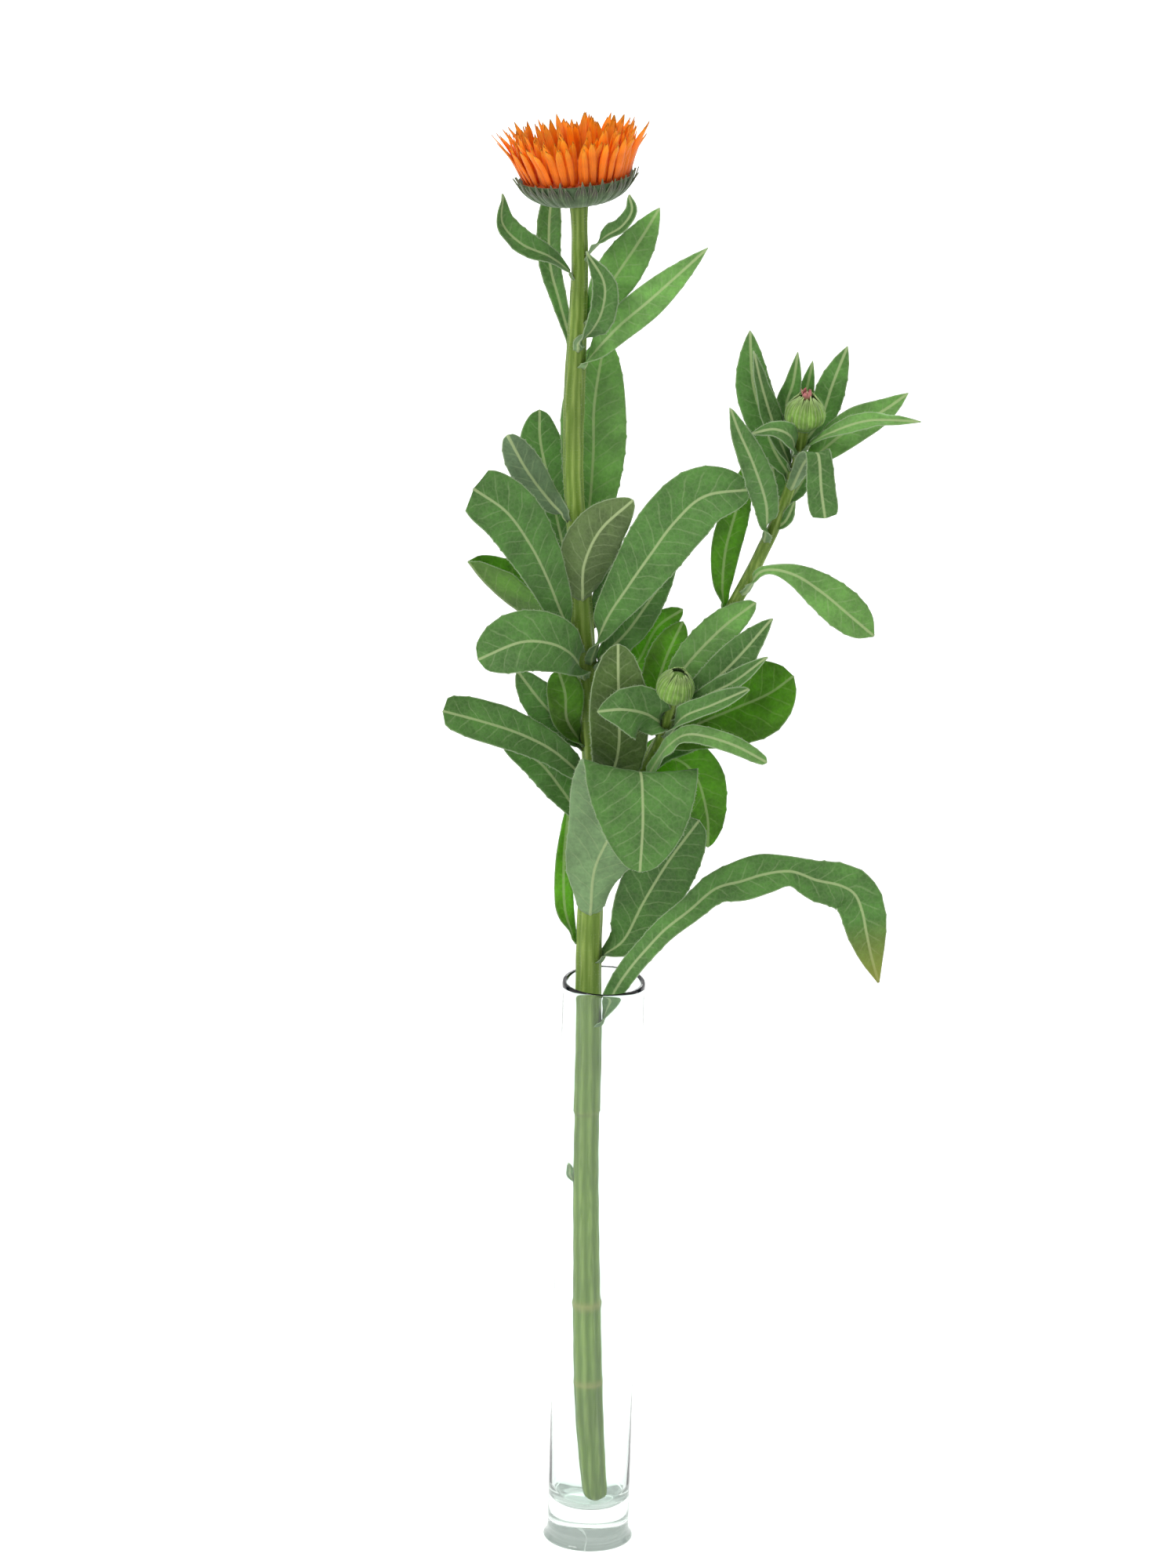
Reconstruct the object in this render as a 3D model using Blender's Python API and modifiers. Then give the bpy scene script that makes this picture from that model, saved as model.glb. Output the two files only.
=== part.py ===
"""Cut calendula stem with one open bloom, two budded side shoots and its leaves, in a slender glass vase.

Lengths are written in millimetres and scaled to metres at the end. The origin is the centre of the
vase's foot, +Z is up and the plant is seen from -Y.
"""
import math
import random

import bmesh
import bpy
import numpy as np
from mathutils import Matrix, Vector

MM = 0.001
OBJECT_NAME = "calendula_flower"

# Vase
VASE_HEIGHT = 201.7
VASE_OUTER = 13.7
VASE_INNER = 12.2
FOOT_RADIUS = 15.0
FLOOR_HEIGHT = 12.3
VASE_SIDES = 32

# Blades
EDGE_HALF = 0.3
RIB_DEPTH = 1.0
CLASP_GAP = 1.0
CLASP_REACH = 0.16
MIN_HALF_WIDTH = 0.45
NARROW_LEAF = 9.0
DEPTH_REACH = 1.45

# Bloom
BLOOM_BASE = (-15.8, 17.0, 473.2)
BLOOM_AXIS = (-0.11, 0.12, 1.0)
BRACT_COUNT = 24
BLOOM_SEED = 7
DISC_COUNT = 18
# Rows of petals from the outside in, as (count, root radius, lean in degrees, length, width)
PETAL_ROWS = ((30, 17.2, 22.0, 15.6, 3.7), (25, 15.8, 15.0, 15.8, 3.7), (12, 13.4, 8.0, 14.4, 4.0))

# Buds, as the foot of each, its axis, radius, height, number of bracts, how high its core closes, seed
RIGHT_BUD = ((60.2, -3.1, 397.6), (0.05, -0.1, 1.0), 6.4, 12.6, 11, 0.84, 11)
FRONT_BUD = ((19.9, -16.2, 301.4), (0.15, -0.35, 1.0), 6.0, 12.8, 10, 0.9, 12)
BUD_TIP = (1.9, 11.1, 14.6, 5)

# Colours
GLASS = (0.86, 0.93, 0.90)
LEAF_GREEN = (0.10, 0.25, 0.045)
STEM_GREEN = (0.17, 0.30, 0.06)
BRACT_GREEN = (0.06, 0.12, 0.05)
PETAL_ORANGE = (1.0, 0.30, 0.01)
DISC_ORANGE = (0.75, 0.22, 0.02)
BUD_PALE = (0.28, 0.46, 0.12)
BUD_GREEN = (0.14, 0.28, 0.07)
BUD_PINK = (0.62, 0.30, 0.26)


def seen(x, y, height):
    """A point from its side, its depth, and its height as read along a sight line from the front.

    The sight line comes down towards the back, so a point keeps its place in the outline when only
    its depth changes.
    """
    slope = 0.439 - 0.000236 * height
    return np.array([x, y, height - slope * y])


def unit(vector):
    vector = np.asarray(vector, dtype=float)
    return vector / np.linalg.norm(vector)


def smooth_path(points, per_span=16):
    """A dense smooth curve through the given points."""
    points = np.asarray(points, dtype=float)
    padded = np.vstack([2 * points[0] - points[1], points, 2 * points[-1] - points[-2]])
    dense = []
    for a, b, c, d in zip(padded[:-3], padded[1:-2], padded[2:-1], padded[3:]):
        for step in range(per_span):
            t = step / per_span
            dense.append(0.5 * (2 * b + (c - a) * t + (2 * a - 5 * b + 4 * c - d) * t ** 2
                                + (3 * b - a - 3 * c + d) * t ** 3))
    dense.append(points[-1])
    return np.array(dense)


def resample(path, fractions):
    """Points of a path at the given fractions of its length."""
    lengths = np.concatenate([[0.0], np.cumsum(np.linalg.norm(np.diff(path[:, :3], axis=0), axis=1))])
    wanted = np.asarray(fractions) * lengths[-1]
    return np.stack([np.interp(wanted, lengths, path[:, k]) for k in range(path.shape[1])], axis=-1)


# Stems, as (side, depth, height, radius) from the lower end up
STEM_MAIN = [
    (2.5, -3.0, 11.6, 1.0), (2.3, -2.9, 13.6, 3.2), (2.1, -2.9, 16.6, 4.1), (1.4, -2.7, 22.0, 4.3),
    (-0.6, -2.0, 45.0, 4.7), (-2.1, -1.0, 74.0, 4.7), (-3.2, 0.4, 103.0, 4.4), (-4.2, 2.4, 131.0, 4.3),
    (-4.5, 3.7, 153.0, 4.2), (-4.6, 3.9, 156.0, 4.5), (-4.7, 4.6, 179.0, 4.5), (-5.2, 5.2, 199.0, 4.35),
    (-5.4, 5.8, 220.0, 4.3), (-4.9, 6.6, 244.0, 4.3), (-4.6, 7.2, 266.0, 4.2), (-5.7, 7.6, 283.0, 4.0),
    (-7.6, 8.0, 300.0, 3.9), (-9.8, 8.4, 319.0, 3.8), (-11.3, 8.8, 338.0, 3.6),
    (-13.2, 9.4, 360.0, 3.3), (-14.7, 10.2, 376.0, 3.3), (-15.3, 11.2, 393.0, 3.4),
    (-15.3, 12.4, 410.0, 3.5), (-15.0, 13.8, 428.0, 3.2), (-14.7, 15.4, 450.0, 2.8),
    (-15.3, 16.6, 467.0, 2.7), (-15.7, 16.9, 472.6, 3.0),
]
BRANCH_RIGHT = [
    (0.9, 4.2, 270.5, 1.8), (5.8, 2.8, 273.5, 2.3), (14.0, 0.6, 283.0, 2.4), (23.2, 0.0, 300.0, 2.3),
    (32.0, -0.4, 320.0, 2.2), (39.7, -0.8, 337.0, 2.2), (44.2, -1.4, 346.0, 2.3), (48.0, -2.0, 355.0, 2.2),
    (51.4, -2.4, 363.0, 2.1), (55.0, -2.8, 373.0, 1.9), (58.3, -3.0, 385.0, 1.8), (60.0, -3.0, 396.3, 1.8),
]
BRANCH_FRONT = [
    (0.5, 0.8, 258.0, 1.4), (5.0, -1.4, 265.0, 1.7), (10.5, -4.4, 275.0, 1.7), (15.5, -8.5, 286.0, 1.7),
    (18.6, -12.6, 295.0, 1.7), (19.8, -15.6, 300.6, 1.9),
]
STEMS = {"main": STEM_MAIN, "right": BRANCH_RIGHT, "front": BRANCH_FRONT}


def stem_path(key):
    """The dense centre line of a stem with its radius as a fourth value."""
    rows = [(*seen(x, y, height), radius) for x, y, height, radius in STEMS[key]]
    return smooth_path(rows, 8)


def stem_ring(key, height):
    """Centre, direction and radius of a stem where it is at the given sight height."""
    rows = STEMS[key]
    heights = [row[2] for row in rows]
    dense = stem_path(key)
    index = np.interp(height, heights, np.arange(len(rows))) * 8
    low = int(min(index, len(dense) - 2))
    part = index - low
    here = dense[low] * (1 - part) + dense[low + 1] * part
    return here[:3], unit(dense[low + 1][:3] - dense[low][:3]), here[3]


# Directions a blade's upper face can look to
VIEW = (0.0, -0.93, 0.37)
VIEW_UP = (0.0, -0.7, 0.7)
VIEW_RIGHT = (0.45, -0.8, 0.35)
VIEW_LEFT = (-0.45, -0.8, 0.35)
UP_VIEW = (0.0, -0.45, 0.9)
AWAY = (0.0, 0.93, -0.2)
AWAY_RIGHT = (0.6, 0.75, 0.1)


def leaf_row(stem, height, turn, points, width, faces, **extra):
    """One leaf: where it leaves its stem, the line of its rib, its width and how it turns."""
    row = {"stem": stem, "height": height, "turn": turn, "points": points, "width": width,
           "faces": faces, "base": 0.32, "peak": 0.62, "blunt": 0.6, "cup": 0.25, "fold": 0.0,
           "wave": 0.5, "waves": 2.5, "phase": 0.0, "stations": 7, "foot_share": 0.25,
           "turn_at": (0.3, 1.0), "across": None, "widths": None}
    row.update(extra)
    return row


# Turn is the compass angle of the leaf's foot on its stem: 0 right, 90 back, 180 left, 270 front
LEAVES = {
    # Under the bloom
    "leaf_top_left_curled": leaf_row(
        "main", 449, 215, [(-24.9, 9, 455), (-34.0, 7, 459), (-40.5, 7, 466), (-40.4, 8, 476)], 9.6,
        (VIEW_UP, (0.8, -0.55, 0.1)), fold=0.35, blunt=0.9, peak=0.7, base=0.2),
    "leaf_top_back": leaf_row(
        "main", 424, 120, [(-21.3, 23, 440), (-24.6, 29, 452), (-25.4, 36, 466), (-24.6, 41, 479)], 8.4,
        (VIEW, VIEW), peak=0.75, fold=0.25, blunt=0.5, stations=6),
    "leaf_top_right_small": leaf_row(
        "main", 455, 320, [(-7.0, 9, 462), (-1.4, 7, 466.0), (1.8, 7, 471.5), (0.6, 8, 477)], 6.2,
        (UP_VIEW, VIEW_LEFT), fold=0.3),
    "leaf_top_right_broad": leaf_row(
        "main", 434, 350, [(-3.4, 11, 448), (5.0, 10, 462), (10.8, 11, 472.8)], 14.8, (VIEW, VIEW),
        blunt=0.8, peak=0.5, cup=0.35, stations=6),
    "leaf_top_front_folded": leaf_row(
        "main", 425, 278, [(-9.6, 3, 431), (-6.8, 1.5, 438), (-6.8, 1.5, 447), (-12.8, 2, 457)], 9.6,
        ((0.45, -0.85, 0.2), (-0.3, -0.9, 0.2)), blunt=0.95, peak=0.62, fold=0.35),
    "leaf_top_right_long": leaf_row(
        "main", 419, 325, [(-2.0, 6, 431), (8.0, 2, 440.5), (17.5, -1, 450), (26.8, -3, 459.5)], 11.4,
        (VIEW, VIEW), blunt=0.85, peak=0.5, base=0.45, cup=0.15, wave=0.3),
    "leaf_top_back_large": leaf_row(
        "main", 352, 65, [(-9.2, 15.5, 371), (-8.6, 17, 388), (-8.7, 18.5, 405), (-5.8, 21.5, 428)],
        22.0, (VIEW, VIEW), base=0.5, peak=0.6, stations=7),

    # Left side
    "leaf_left_back_upper": leaf_row(
        "main", 345, 140, [(-19.0, 16, 360), (-23.0, 19, 377), (-26.2, 21, 391), (-26.8, 22, 402)], 16.5,
        (VIEW, VIEW), peak=0.66, blunt=0.5),
    "leaf_left_grey": leaf_row(
        "main", 365, 200, [(-23.0, 8, 371.0), (-30.4, 4, 381), (-37.0, 2, 393.0)], 11.8, (AWAY, AWAY),
        base=0.4, peak=0.62, fold=0.3, blunt=0.5),
    "leaf_left_large": leaf_row(
        "main", 320, 245, [(-17.5, 1.6, 331), (-22.4, -1.5, 343), (-28.2, -5, 354.5), (-36.4, -9, 366),
        (-47.4, -11, 373.8)], 20.5, ((0.25, -0.85, 0.4), (0.15, -0.85, 0.45)), base=0.22, peak=0.84,
        blunt=0.14, stations=8),
    "leaf_left_folded": leaf_row(
        "main", 325, 165, [(-20.5, 11.6, 326.5), (-27.0, 11, 329), (-36.0, 9.5, 335), (-43.5, 8, 342),
        (-48.6, 7, 348.5)], 25.0, ((0.25, -0.15, 1.0), (0.1, -0.1, 1.0)), base=0.3, peak=0.6, fold=1.0,
        blunt=0.5, cup=0.05, stations=7),
    "leaf_left_broad": leaf_row(
        "main", 311, 262, [(-14.0, -4.5, 317.0), (-21.0, -8.5, 320.5), (-31.0, -11, 320.5),
        (-44.6, -13, 314.0)], 21.0, ((0.1, -0.85, 0.55), (-0.1, -0.85, 0.5)), base=0.15, peak=0.7,
        blunt=0.42, stations=7),
    "leaf_left_mid_back": leaf_row(
        "main", 285, 182, [(-16.2, 5.0, 292), (-23.6, 2.6, 300), (-31.6, 0.6, 310.5)], 12.2,
        (VIEW, VIEW), peak=0.6, stations=6),
    "leaf_left_low_long": leaf_row(
        "main", 272.5, 240, [(-18.6, -2.0, 282.4), (-29.8, -5.5, 288.2), (-41.5, -9, 292.0),
        (-55.6, -12, 295.6)], 14.6, (VIEW, VIEW_UP), base=0.4, peak=0.82, blunt=0.2, stations=7),
    "leaf_left_low_olive": leaf_row(
        "main", 258, 210, [(-15.8, 3.2, 269), (-24.2, 1.5, 279), (-36.0, 0, 285)], 12.0, (VIEW, VIEW),
        peak=0.6, base=0.35, stations=6),
    "leaf_mid_yellow": leaf_row(
        "main", 287, 208, [(-14.8, 2.2, 294), (-15.6, 1.6, 303), (-18.2, 1.6, 311.5)], 12.4,
        (VIEW, VIEW), base=0.25, peak=0.75, blunt=0.5, stations=6),
    "leaf_low_left_narrow": leaf_row(
        "main", 216, 175, [(-13.8, 9.6, 227.5), (-14.5, 10, 244), (-13.6, 10.5, 260), (-12.8, 11, 270)],
        6.4, (VIEW, VIEW), base=0.6, peak=0.3, blunt=0.9, stations=6),

    # In front, low
    "leaf_front_large": leaf_row(
        "main", 228, 272, [(-4.0, -1.6, 242), (2.4, -5.5, 257.5), (6.6, -10.5, 269.8), (9.2, -15, 275.8),
        (10.2, -18, 275.4), (10.8, -20, 270.0), (11.3, -22.5, 257), (10.8, -24.5, 240.5)], 39.0, None,
        across=(-1.0, 0.0, 0.07), base=0.25, peak=0.6, blunt=0.52, cup=0.12, wave=0.3, stations=13),
    "leaf_low_right_dark": leaf_row(
        "main", 210, 345, [(6.4, 4.0, 216.5), (12.5, 3.6, 230), (20.5, 1.4, 245), (30.0, -1.4, 259.5)],
        22.0, (VIEW, VIEW), base=0.28, peak=0.6, blunt=0.4, fold=0.1, stations=7),
    "leaf_right_bright_arch": leaf_row(
        "main", 263, 20, [(6.0, 7.0, 271), (18.7, 7, 281), (28.0, 6.5, 276), (32.6, 6, 262),
        (33.4, 5.5, 250)], 18.0, ((0.1, -0.8, 0.5), VIEW_RIGHT), base=0.35, peak=0.62, blunt=0.6,
        stations=8),
    "leaf_low_right_drooping": leaf_row(
        "main", 187, 335, [(3.6, -2.0, 197.6), (8.6, -5.4, 206.2), (14.0, -8, 213.4),
        (19.8, -9.5, 220.4), (27.6, -10.8, 227.4), (36.0, -11, 235.4), (44.6, -10.5, 238.4),
        (52.4, -9.5, 241.2), (61.0, -8.5, 242.4), (69.4, -8, 239.6), (77.2, -8.8, 238.0),
        (82.2, -10.5, 235.0), (84.8, -12.3, 229.0), (86.4, -13.8, 221.6), (88.4, -15.2, 212.7),
        (91.0, -16.4, 203.6)], 15.6, ((-0.1, -0.85, 0.5), (0.15, -0.97, 0.1)), base=0.36, widths=[0.42,
        0.49, 0.5, 0.52, 0.56, 0.68, 0.9, 0.88, 0.64, 0.88, 0.98, 1.0, 0.98, 0.86, 0.52, 0.04], fold=0.1,
        cup=0.2, foot_share=0.1, turn_at=(0.6, 0.8), wave=0.4, waves=3.5, stations=16),

    # In front of the stem, upper middle
    "leaf_mid_olive": leaf_row(
        "main", 338.5, 278, [(-10.4, 2.0, 349), (-5.2, -1.5, 361), (5.2, -4.2, 371.6)], 19.0,
        (AWAY, AWAY_RIGHT), base=0.5, peak=0.45, blunt=0.62, cup=0.4),
    "leaf_mid_dark_back": leaf_row(
        "main", 327, 20, [(-2.5, 8.0, 341), (2.9, 9.0, 354)], 8.0, (VIEW, VIEW), stations=6, peak=0.5),
    "leaf_right_large": leaf_row(
        "main", 316, 300, [(-2.6, 0.2, 329.5), (4.0, -4, 341), (11.4, -7, 353), (19.0, -9, 364.5),
        (28.4, -9.6, 373.6), (43.0, -9.4, 376.4)], 22.0, ((-0.1, -0.9, 0.4), (0.05, -0.85, 0.5)),
        base=0.18, peak=0.74, blunt=0.42, stations=8),
    "leaf_right_under_large": leaf_row(
        "main", 314, 335, [(4.0, 3.6, 325), (12.0, 2, 337.5), (20.0, 1, 350)], 11.5, (VIEW, VIEW),
        peak=0.5, blunt=0.8, stations=6),

    # Cluster round the front bud
    "leaf_bud_back_pale": leaf_row(
        "main", 301, 0, [(7.5, 5.4, 314), (14.0, 4.6, 327), (22.4, 3.6, 333.8)], 10.6, (VIEW, VIEW),
        peak=0.6, blunt=0.5, stations=6),
    "leaf_bud_bright_oval": leaf_row(
        "front", 289, 125, [(14.0, -4.6, 302), (17.2, -3.6, 316), (22.6, -2.6, 329.6)], 12.6,
        (VIEW, VIEW), peak=0.65, blunt=0.6),
    "leaf_front_round_dark": leaf_row(
        "main", 262, 280, [(2.2, -6.2, 281), (2.4, -8.2, 297), (1.8, -9.0, 309), (1.4, -8.5, 321)], 20.0,
        (VIEW, VIEW), base=0.3, peak=0.68, blunt=0.5, cup=0.3),
    "leaf_front_triangular": leaf_row(
        "front", 293, 210, [(11.0, -16.5, 296.8), (3.5, -19.5, 298), (-4.8, -20.5, 297)], 18.0,
        (VIEW_LEFT, VIEW_LEFT), base=0.3, peak=0.45, blunt=0.8),
    "leaf_bud_light_green": leaf_row(
        "front", 295.5, 90, [(22.2, -8.0, 311), (34.4, -7.6, 326.5), (46.3, -8.0, 337)], 12.4,
        (VIEW, VIEW_LEFT), base=0.25, cup=0.05, peak=0.6, blunt=0.5, stations=6),
    "leaf_bud_dark_long": leaf_row(
        "front", 291.5, 32, [(28.5, -11.8, 304.0), (39.8, -13.4, 316.0), (51.8, -14.5, 331.5)], 12.4,
        (VIEW, VIEW_LEFT), base=0.25, cup=0.05, peak=0.6, blunt=0.75, fold=0.2),
    "leaf_bud_pale_inner": leaf_row(
        "front", 296.5, 340, [(29.0, -17.0, 302.5), (40.0, -19.0, 309), (50.5, -19.5, 318)], 7.5,
        (VIEW_UP, VIEW_UP), base=0.35, fold=0.35, blunt=0.8, stations=6),
    "leaf_bud_lower_pale": leaf_row(
        "front", 290.5, 303, [(24.0, -21.6, 296.2), (33.0, -23.5, 300.5), (44.8, -24.5, 306.5)], 8.0,
        (VIEW_UP, VIEW_UP), base=0.35, fold=0.35, blunt=0.5, stations=6),
    "leaf_bud_right_large": leaf_row(
        "front", 284.5, 345, [(27.0, -8.6, 292.6), (39.5, -8.6, 299), (51.5, -9, 305),
        (59.5, -10, 311.5)], 28.5, ((-0.1, -0.85, 0.5), (-0.4, -0.8, 0.4)), base=0.22, peak=0.7,
        blunt=0.5, fold=0.15, stations=7),
    "leaf_bud_lower_bright": leaf_row(
        "front", 277, 40, [(18.8, -3.2, 285), (29.0, -4.0, 291), (39.8, -4.6, 295.5)], 10.6,
        (VIEW, VIEW), peak=0.55, stations=7),
    "leaf_bud_narrow_arch": leaf_row(
        "front", 268, 310, [(15.0, -13.0, 279.6), (19.4, -20.2, 286.2), (26.2, -25.6, 290.0),
        (39.3, -27, 287.0), (51.5, -28, 280.8)], 7.0, (VIEW_UP, VIEW_UP), base=0.45, peak=0.7, blunt=0.3,
        cup=0.15, stations=8),

    # Right shoot
    "leaf_shoot_tall": leaf_row(
        "right", 380, 140, [(50.4, 0.8, 391), (46.4, 1.4, 402), (43.0, 1.8, 414), (41.6, 2.0, 431.4)],
        12.4, (VIEW, VIEW), base=0.35, peak=0.55, blunt=0.75),
    "leaf_shoot_tall_inner": leaf_row(
        "right", 384.5, 190, [(50.4, -3.0, 399), (46.0, -3.2, 412.5), (43.0, -3.4, 424.5)], 7.6,
        (VIEW_RIGHT, VIEW_RIGHT), base=0.4, peak=0.45, blunt=0.85, stations=6),
    "leaf_shoot_bud_left": leaf_row(
        "right", 391, 130, [(54.4, 4.4, 405), (56.4, 5.4, 414), (57.6, 5.4, 424.5)], 7.4, (VIEW, VIEW),
        stations=6, base=0.4, peak=0.4, blunt=0.8),
    "leaf_shoot_bud_back": leaf_row(
        "right", 386.5, 108, [(59.6, 8.0, 404), (61.0, 8.0, 412), (62.6, 8.0, 421.5)], 7.0, (VIEW, VIEW),
        stations=7, base=0.3, peak=0.45, blunt=0.75),
    "leaf_shoot_bud_right": leaf_row(
        "right", 392.5, 50, [(66.0, 4.8, 402), (69.4, 5.2, 414), (73.8, 5.4, 427)], 10.0, (VIEW, VIEW),
        stations=6, base=0.2, peak=0.55, blunt=0.8),
    "leaf_shoot_right_upper": leaf_row(
        "right", 384, 0, [(66.2, -2.2, 390.4), (76.0, -0.4, 399), (86.0, 0.4, 405), (94.2, 1.0, 411.5)],
        11.8, ((0.0, -0.85, 0.5), VIEW), base=0.3, peak=0.5, blunt=0.85, stations=7),
    "leaf_shoot_right_pale": leaf_row(
        "right", 392, 325, [(68.0, -8.5, 396.5), (81.0, -9, 401.5), (98.4, -9, 401.8)], 6.4,
        (UP_VIEW, VIEW_UP), base=0.4, peak=0.5, blunt=0.85, stations=6),
    "leaf_shoot_drooping_dark": leaf_row(
        "right", 379, 278, [(60.6, -9.2, 386.5), (63.0, -11.8, 389.6), (64.8, -14.0, 389.6),
        (65.6, -15.2, 386.0), (66.4, -15.4, 377), (68.0, -15.6, 367.0)], 9.8, None,
        across=(-1.0, 0.0, 0.05), base=0.4, peak=0.9, blunt=0.2, stations=9),
    "leaf_shoot_left_narrow": leaf_row(
        "right", 389.5, 238, [(56.0, -10.0, 395.2), (50.5, -11.4, 397.6), (42.8, -11.4, 395.8)], 8.2,
        (VIEW_UP, VIEW_UP), base=0.5, peak=0.4, blunt=0.8),
    "leaf_shoot_left": leaf_row(
        "right", 360, 235, [(48.6, -9.6, 371.5), (44.0, -14.8, 385), (38.8, -16, 396.5),
        (35.8, -16.5, 404.5)], 10.2, (VIEW, VIEW_RIGHT), base=0.4, peak=0.55, blunt=0.7),
    "leaf_shoot_left_back": leaf_row(
        "right", 333, 170, [(35.2, 0.4, 343), (36.0, 1.2, 355.5), (39.2, 1.8, 370), (43.0, 2.2, 388)],
        10.2, (VIEW, VIEW), base=0.4, peak=0.5, blunt=0.75, stations=6),
    "leaf_shoot_spreading": leaf_row(
        "right", 341.5, 285, [(47.0, -9.6, 347.4), (52.5, -12, 348.6), (60.0, -13.6, 346.4),
        (68.6, -15, 340.6), (76.4, -16, 334.0), (81.8, -16.6, 329.4), (85.4, -17, 326.4)], 13.6,
        (VIEW, VIEW_UP), base=0.2, widths=[0.22, 0.26, 0.6, 0.95, 1.0, 0.72, 0.04], stations=10),

    # Low on the stem, inside the vase
    "stem_leaflet": leaf_row(
        "main", 131, 185, [(-9.8, 3.0, 133.4), (-10.4, 3.0, 135.6)], 2.6, (VIEW, VIEW), stations=5,
        cup=0.1, base=0.5, wave=0.0),
}

# Small leaves that stay part of the right shoot's stem, from a root inside the stem
SHOOT_SMALL_LEAVES = [
    ([(51.6, -2.0, 364), (51.6, 0.8, 376), (49.6, 1.6, 389)], 8.0, VIEW),
    ([(52.0, -3.0, 363), (55.4, -5.4, 366), (58.0, -6.0, 372.6)], 4.2, VIEW_LEFT),
    ([(55.6, -2.6, 372), (58.8, -1.8, 377), (61.6, -1.6, 382.6)], 6.0, VIEW),
]


def turned_faces(row, foot_face, ribs, fractions):
    """The direction the upper face looks to at each station, level across where a leaf folds over."""
    tangents = np.gradient(ribs, axis=0)
    start, stop = row["turn_at"]
    result = []
    for t, tangent in zip(fractions, tangents):
        if row["across"]:
            face = unit(np.cross(row["across"], tangent))
        else:
            part = min(max((t - start) / (stop - start), 0.0), 1.0)
            face = unit(row["faces"][0]) * (1 - part) + unit(row["faces"][1]) * part
        early = min(t / row["foot_share"], 1.0)
        result.append(foot_face * (1 - early) + face * early)
    return np.array(result)


def outline(t, base, peak, blunt):
    """Half-width of a leaf as a share of its widest, at a share of its length."""
    if t < peak:
        return base + (1 - base) * math.sin(math.pi / 2 * t / peak) ** 1.4
    return max(math.cos(math.pi / 2 * (t - peak) / (1 - peak)), 0.0) ** blunt


def blade_grid(ribs, faces, halves, across, curls, folds, waves):
    """The middle surface of a blade: stations along its rib by places across it."""
    tangents = np.gradient(ribs, axis=0)
    grid = np.zeros((len(ribs), len(across), 3))
    for i, rib in enumerate(ribs):
        tangent = unit(tangents[i])
        side = unit(np.cross(tangent, faces[i]))
        upper = np.cross(side, tangent)
        for j, place in enumerate(across):
            reach = place * halves[i]
            curl = curls[i]
            if abs(curl) > 1e-6:
                out = math.sin(curl * reach) / curl
                rise = (1 - math.cos(curl * reach)) / curl
            else:
                out = reach
                rise = 0.0
            rise = rise + abs(out) * math.sin(folds[i]) + waves[i] * place * abs(place)
            out = out * math.cos(folds[i])
            grid[i, j] = rib + side * out + upper * rise
    return grid


def blade_mesh(name, grid, tops, bottoms):
    """A closed blade round a middle surface, split alike on both faces."""
    rows, columns = grid.shape[:2]
    along = np.gradient(grid, axis=0)
    over = np.gradient(grid, axis=1)
    normals = np.cross(over, along)
    normals /= np.linalg.norm(normals, axis=2, keepdims=True)
    upper = grid + normals * np.asarray(tops)[None, :, None]
    lower = grid - normals * np.asarray(bottoms)[None, :, None]
    points = np.concatenate([upper.reshape(-1, 3), lower.reshape(-1, 3)])
    half = rows * columns
    faces = []
    for i in range(rows - 1):
        for j in range(columns - 1):
            a = i * columns + j
            b = a + 1
            c = b + columns
            d = a + columns
            faces += [(a, b, c), (a, c, d), (half + a, half + c, half + b), (half + a, half + d, half + c)]
        left = i * columns
        right = left + columns - 1
        faces += [(left, left + columns, half + left + columns),
                  (left, half + left + columns, half + left),
                  (right, half + right + columns, right + columns),
                  (right, half + right, half + right + columns)]
    last = (rows - 1) * columns
    for j in range(columns - 1):
        faces += [(j, half + j, half + j + 1), (j, half + j + 1, j + 1)]
        a = last + j
        faces += [(a, half + a + 1, half + a), (a, a + 1, half + a + 1)]
    mesh = bpy.data.meshes.new(name)
    mesh.from_pydata([tuple(p * MM) for p in points], [], faces)
    mesh.update()
    return mesh


def spread(count):
    """Shares of a length, closer together near both ends."""
    steps = np.linspace(0.0, 1.0, count)
    return 0.55 * steps + 0.45 * (0.5 - 0.5 * np.cos(math.pi * steps))


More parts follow.
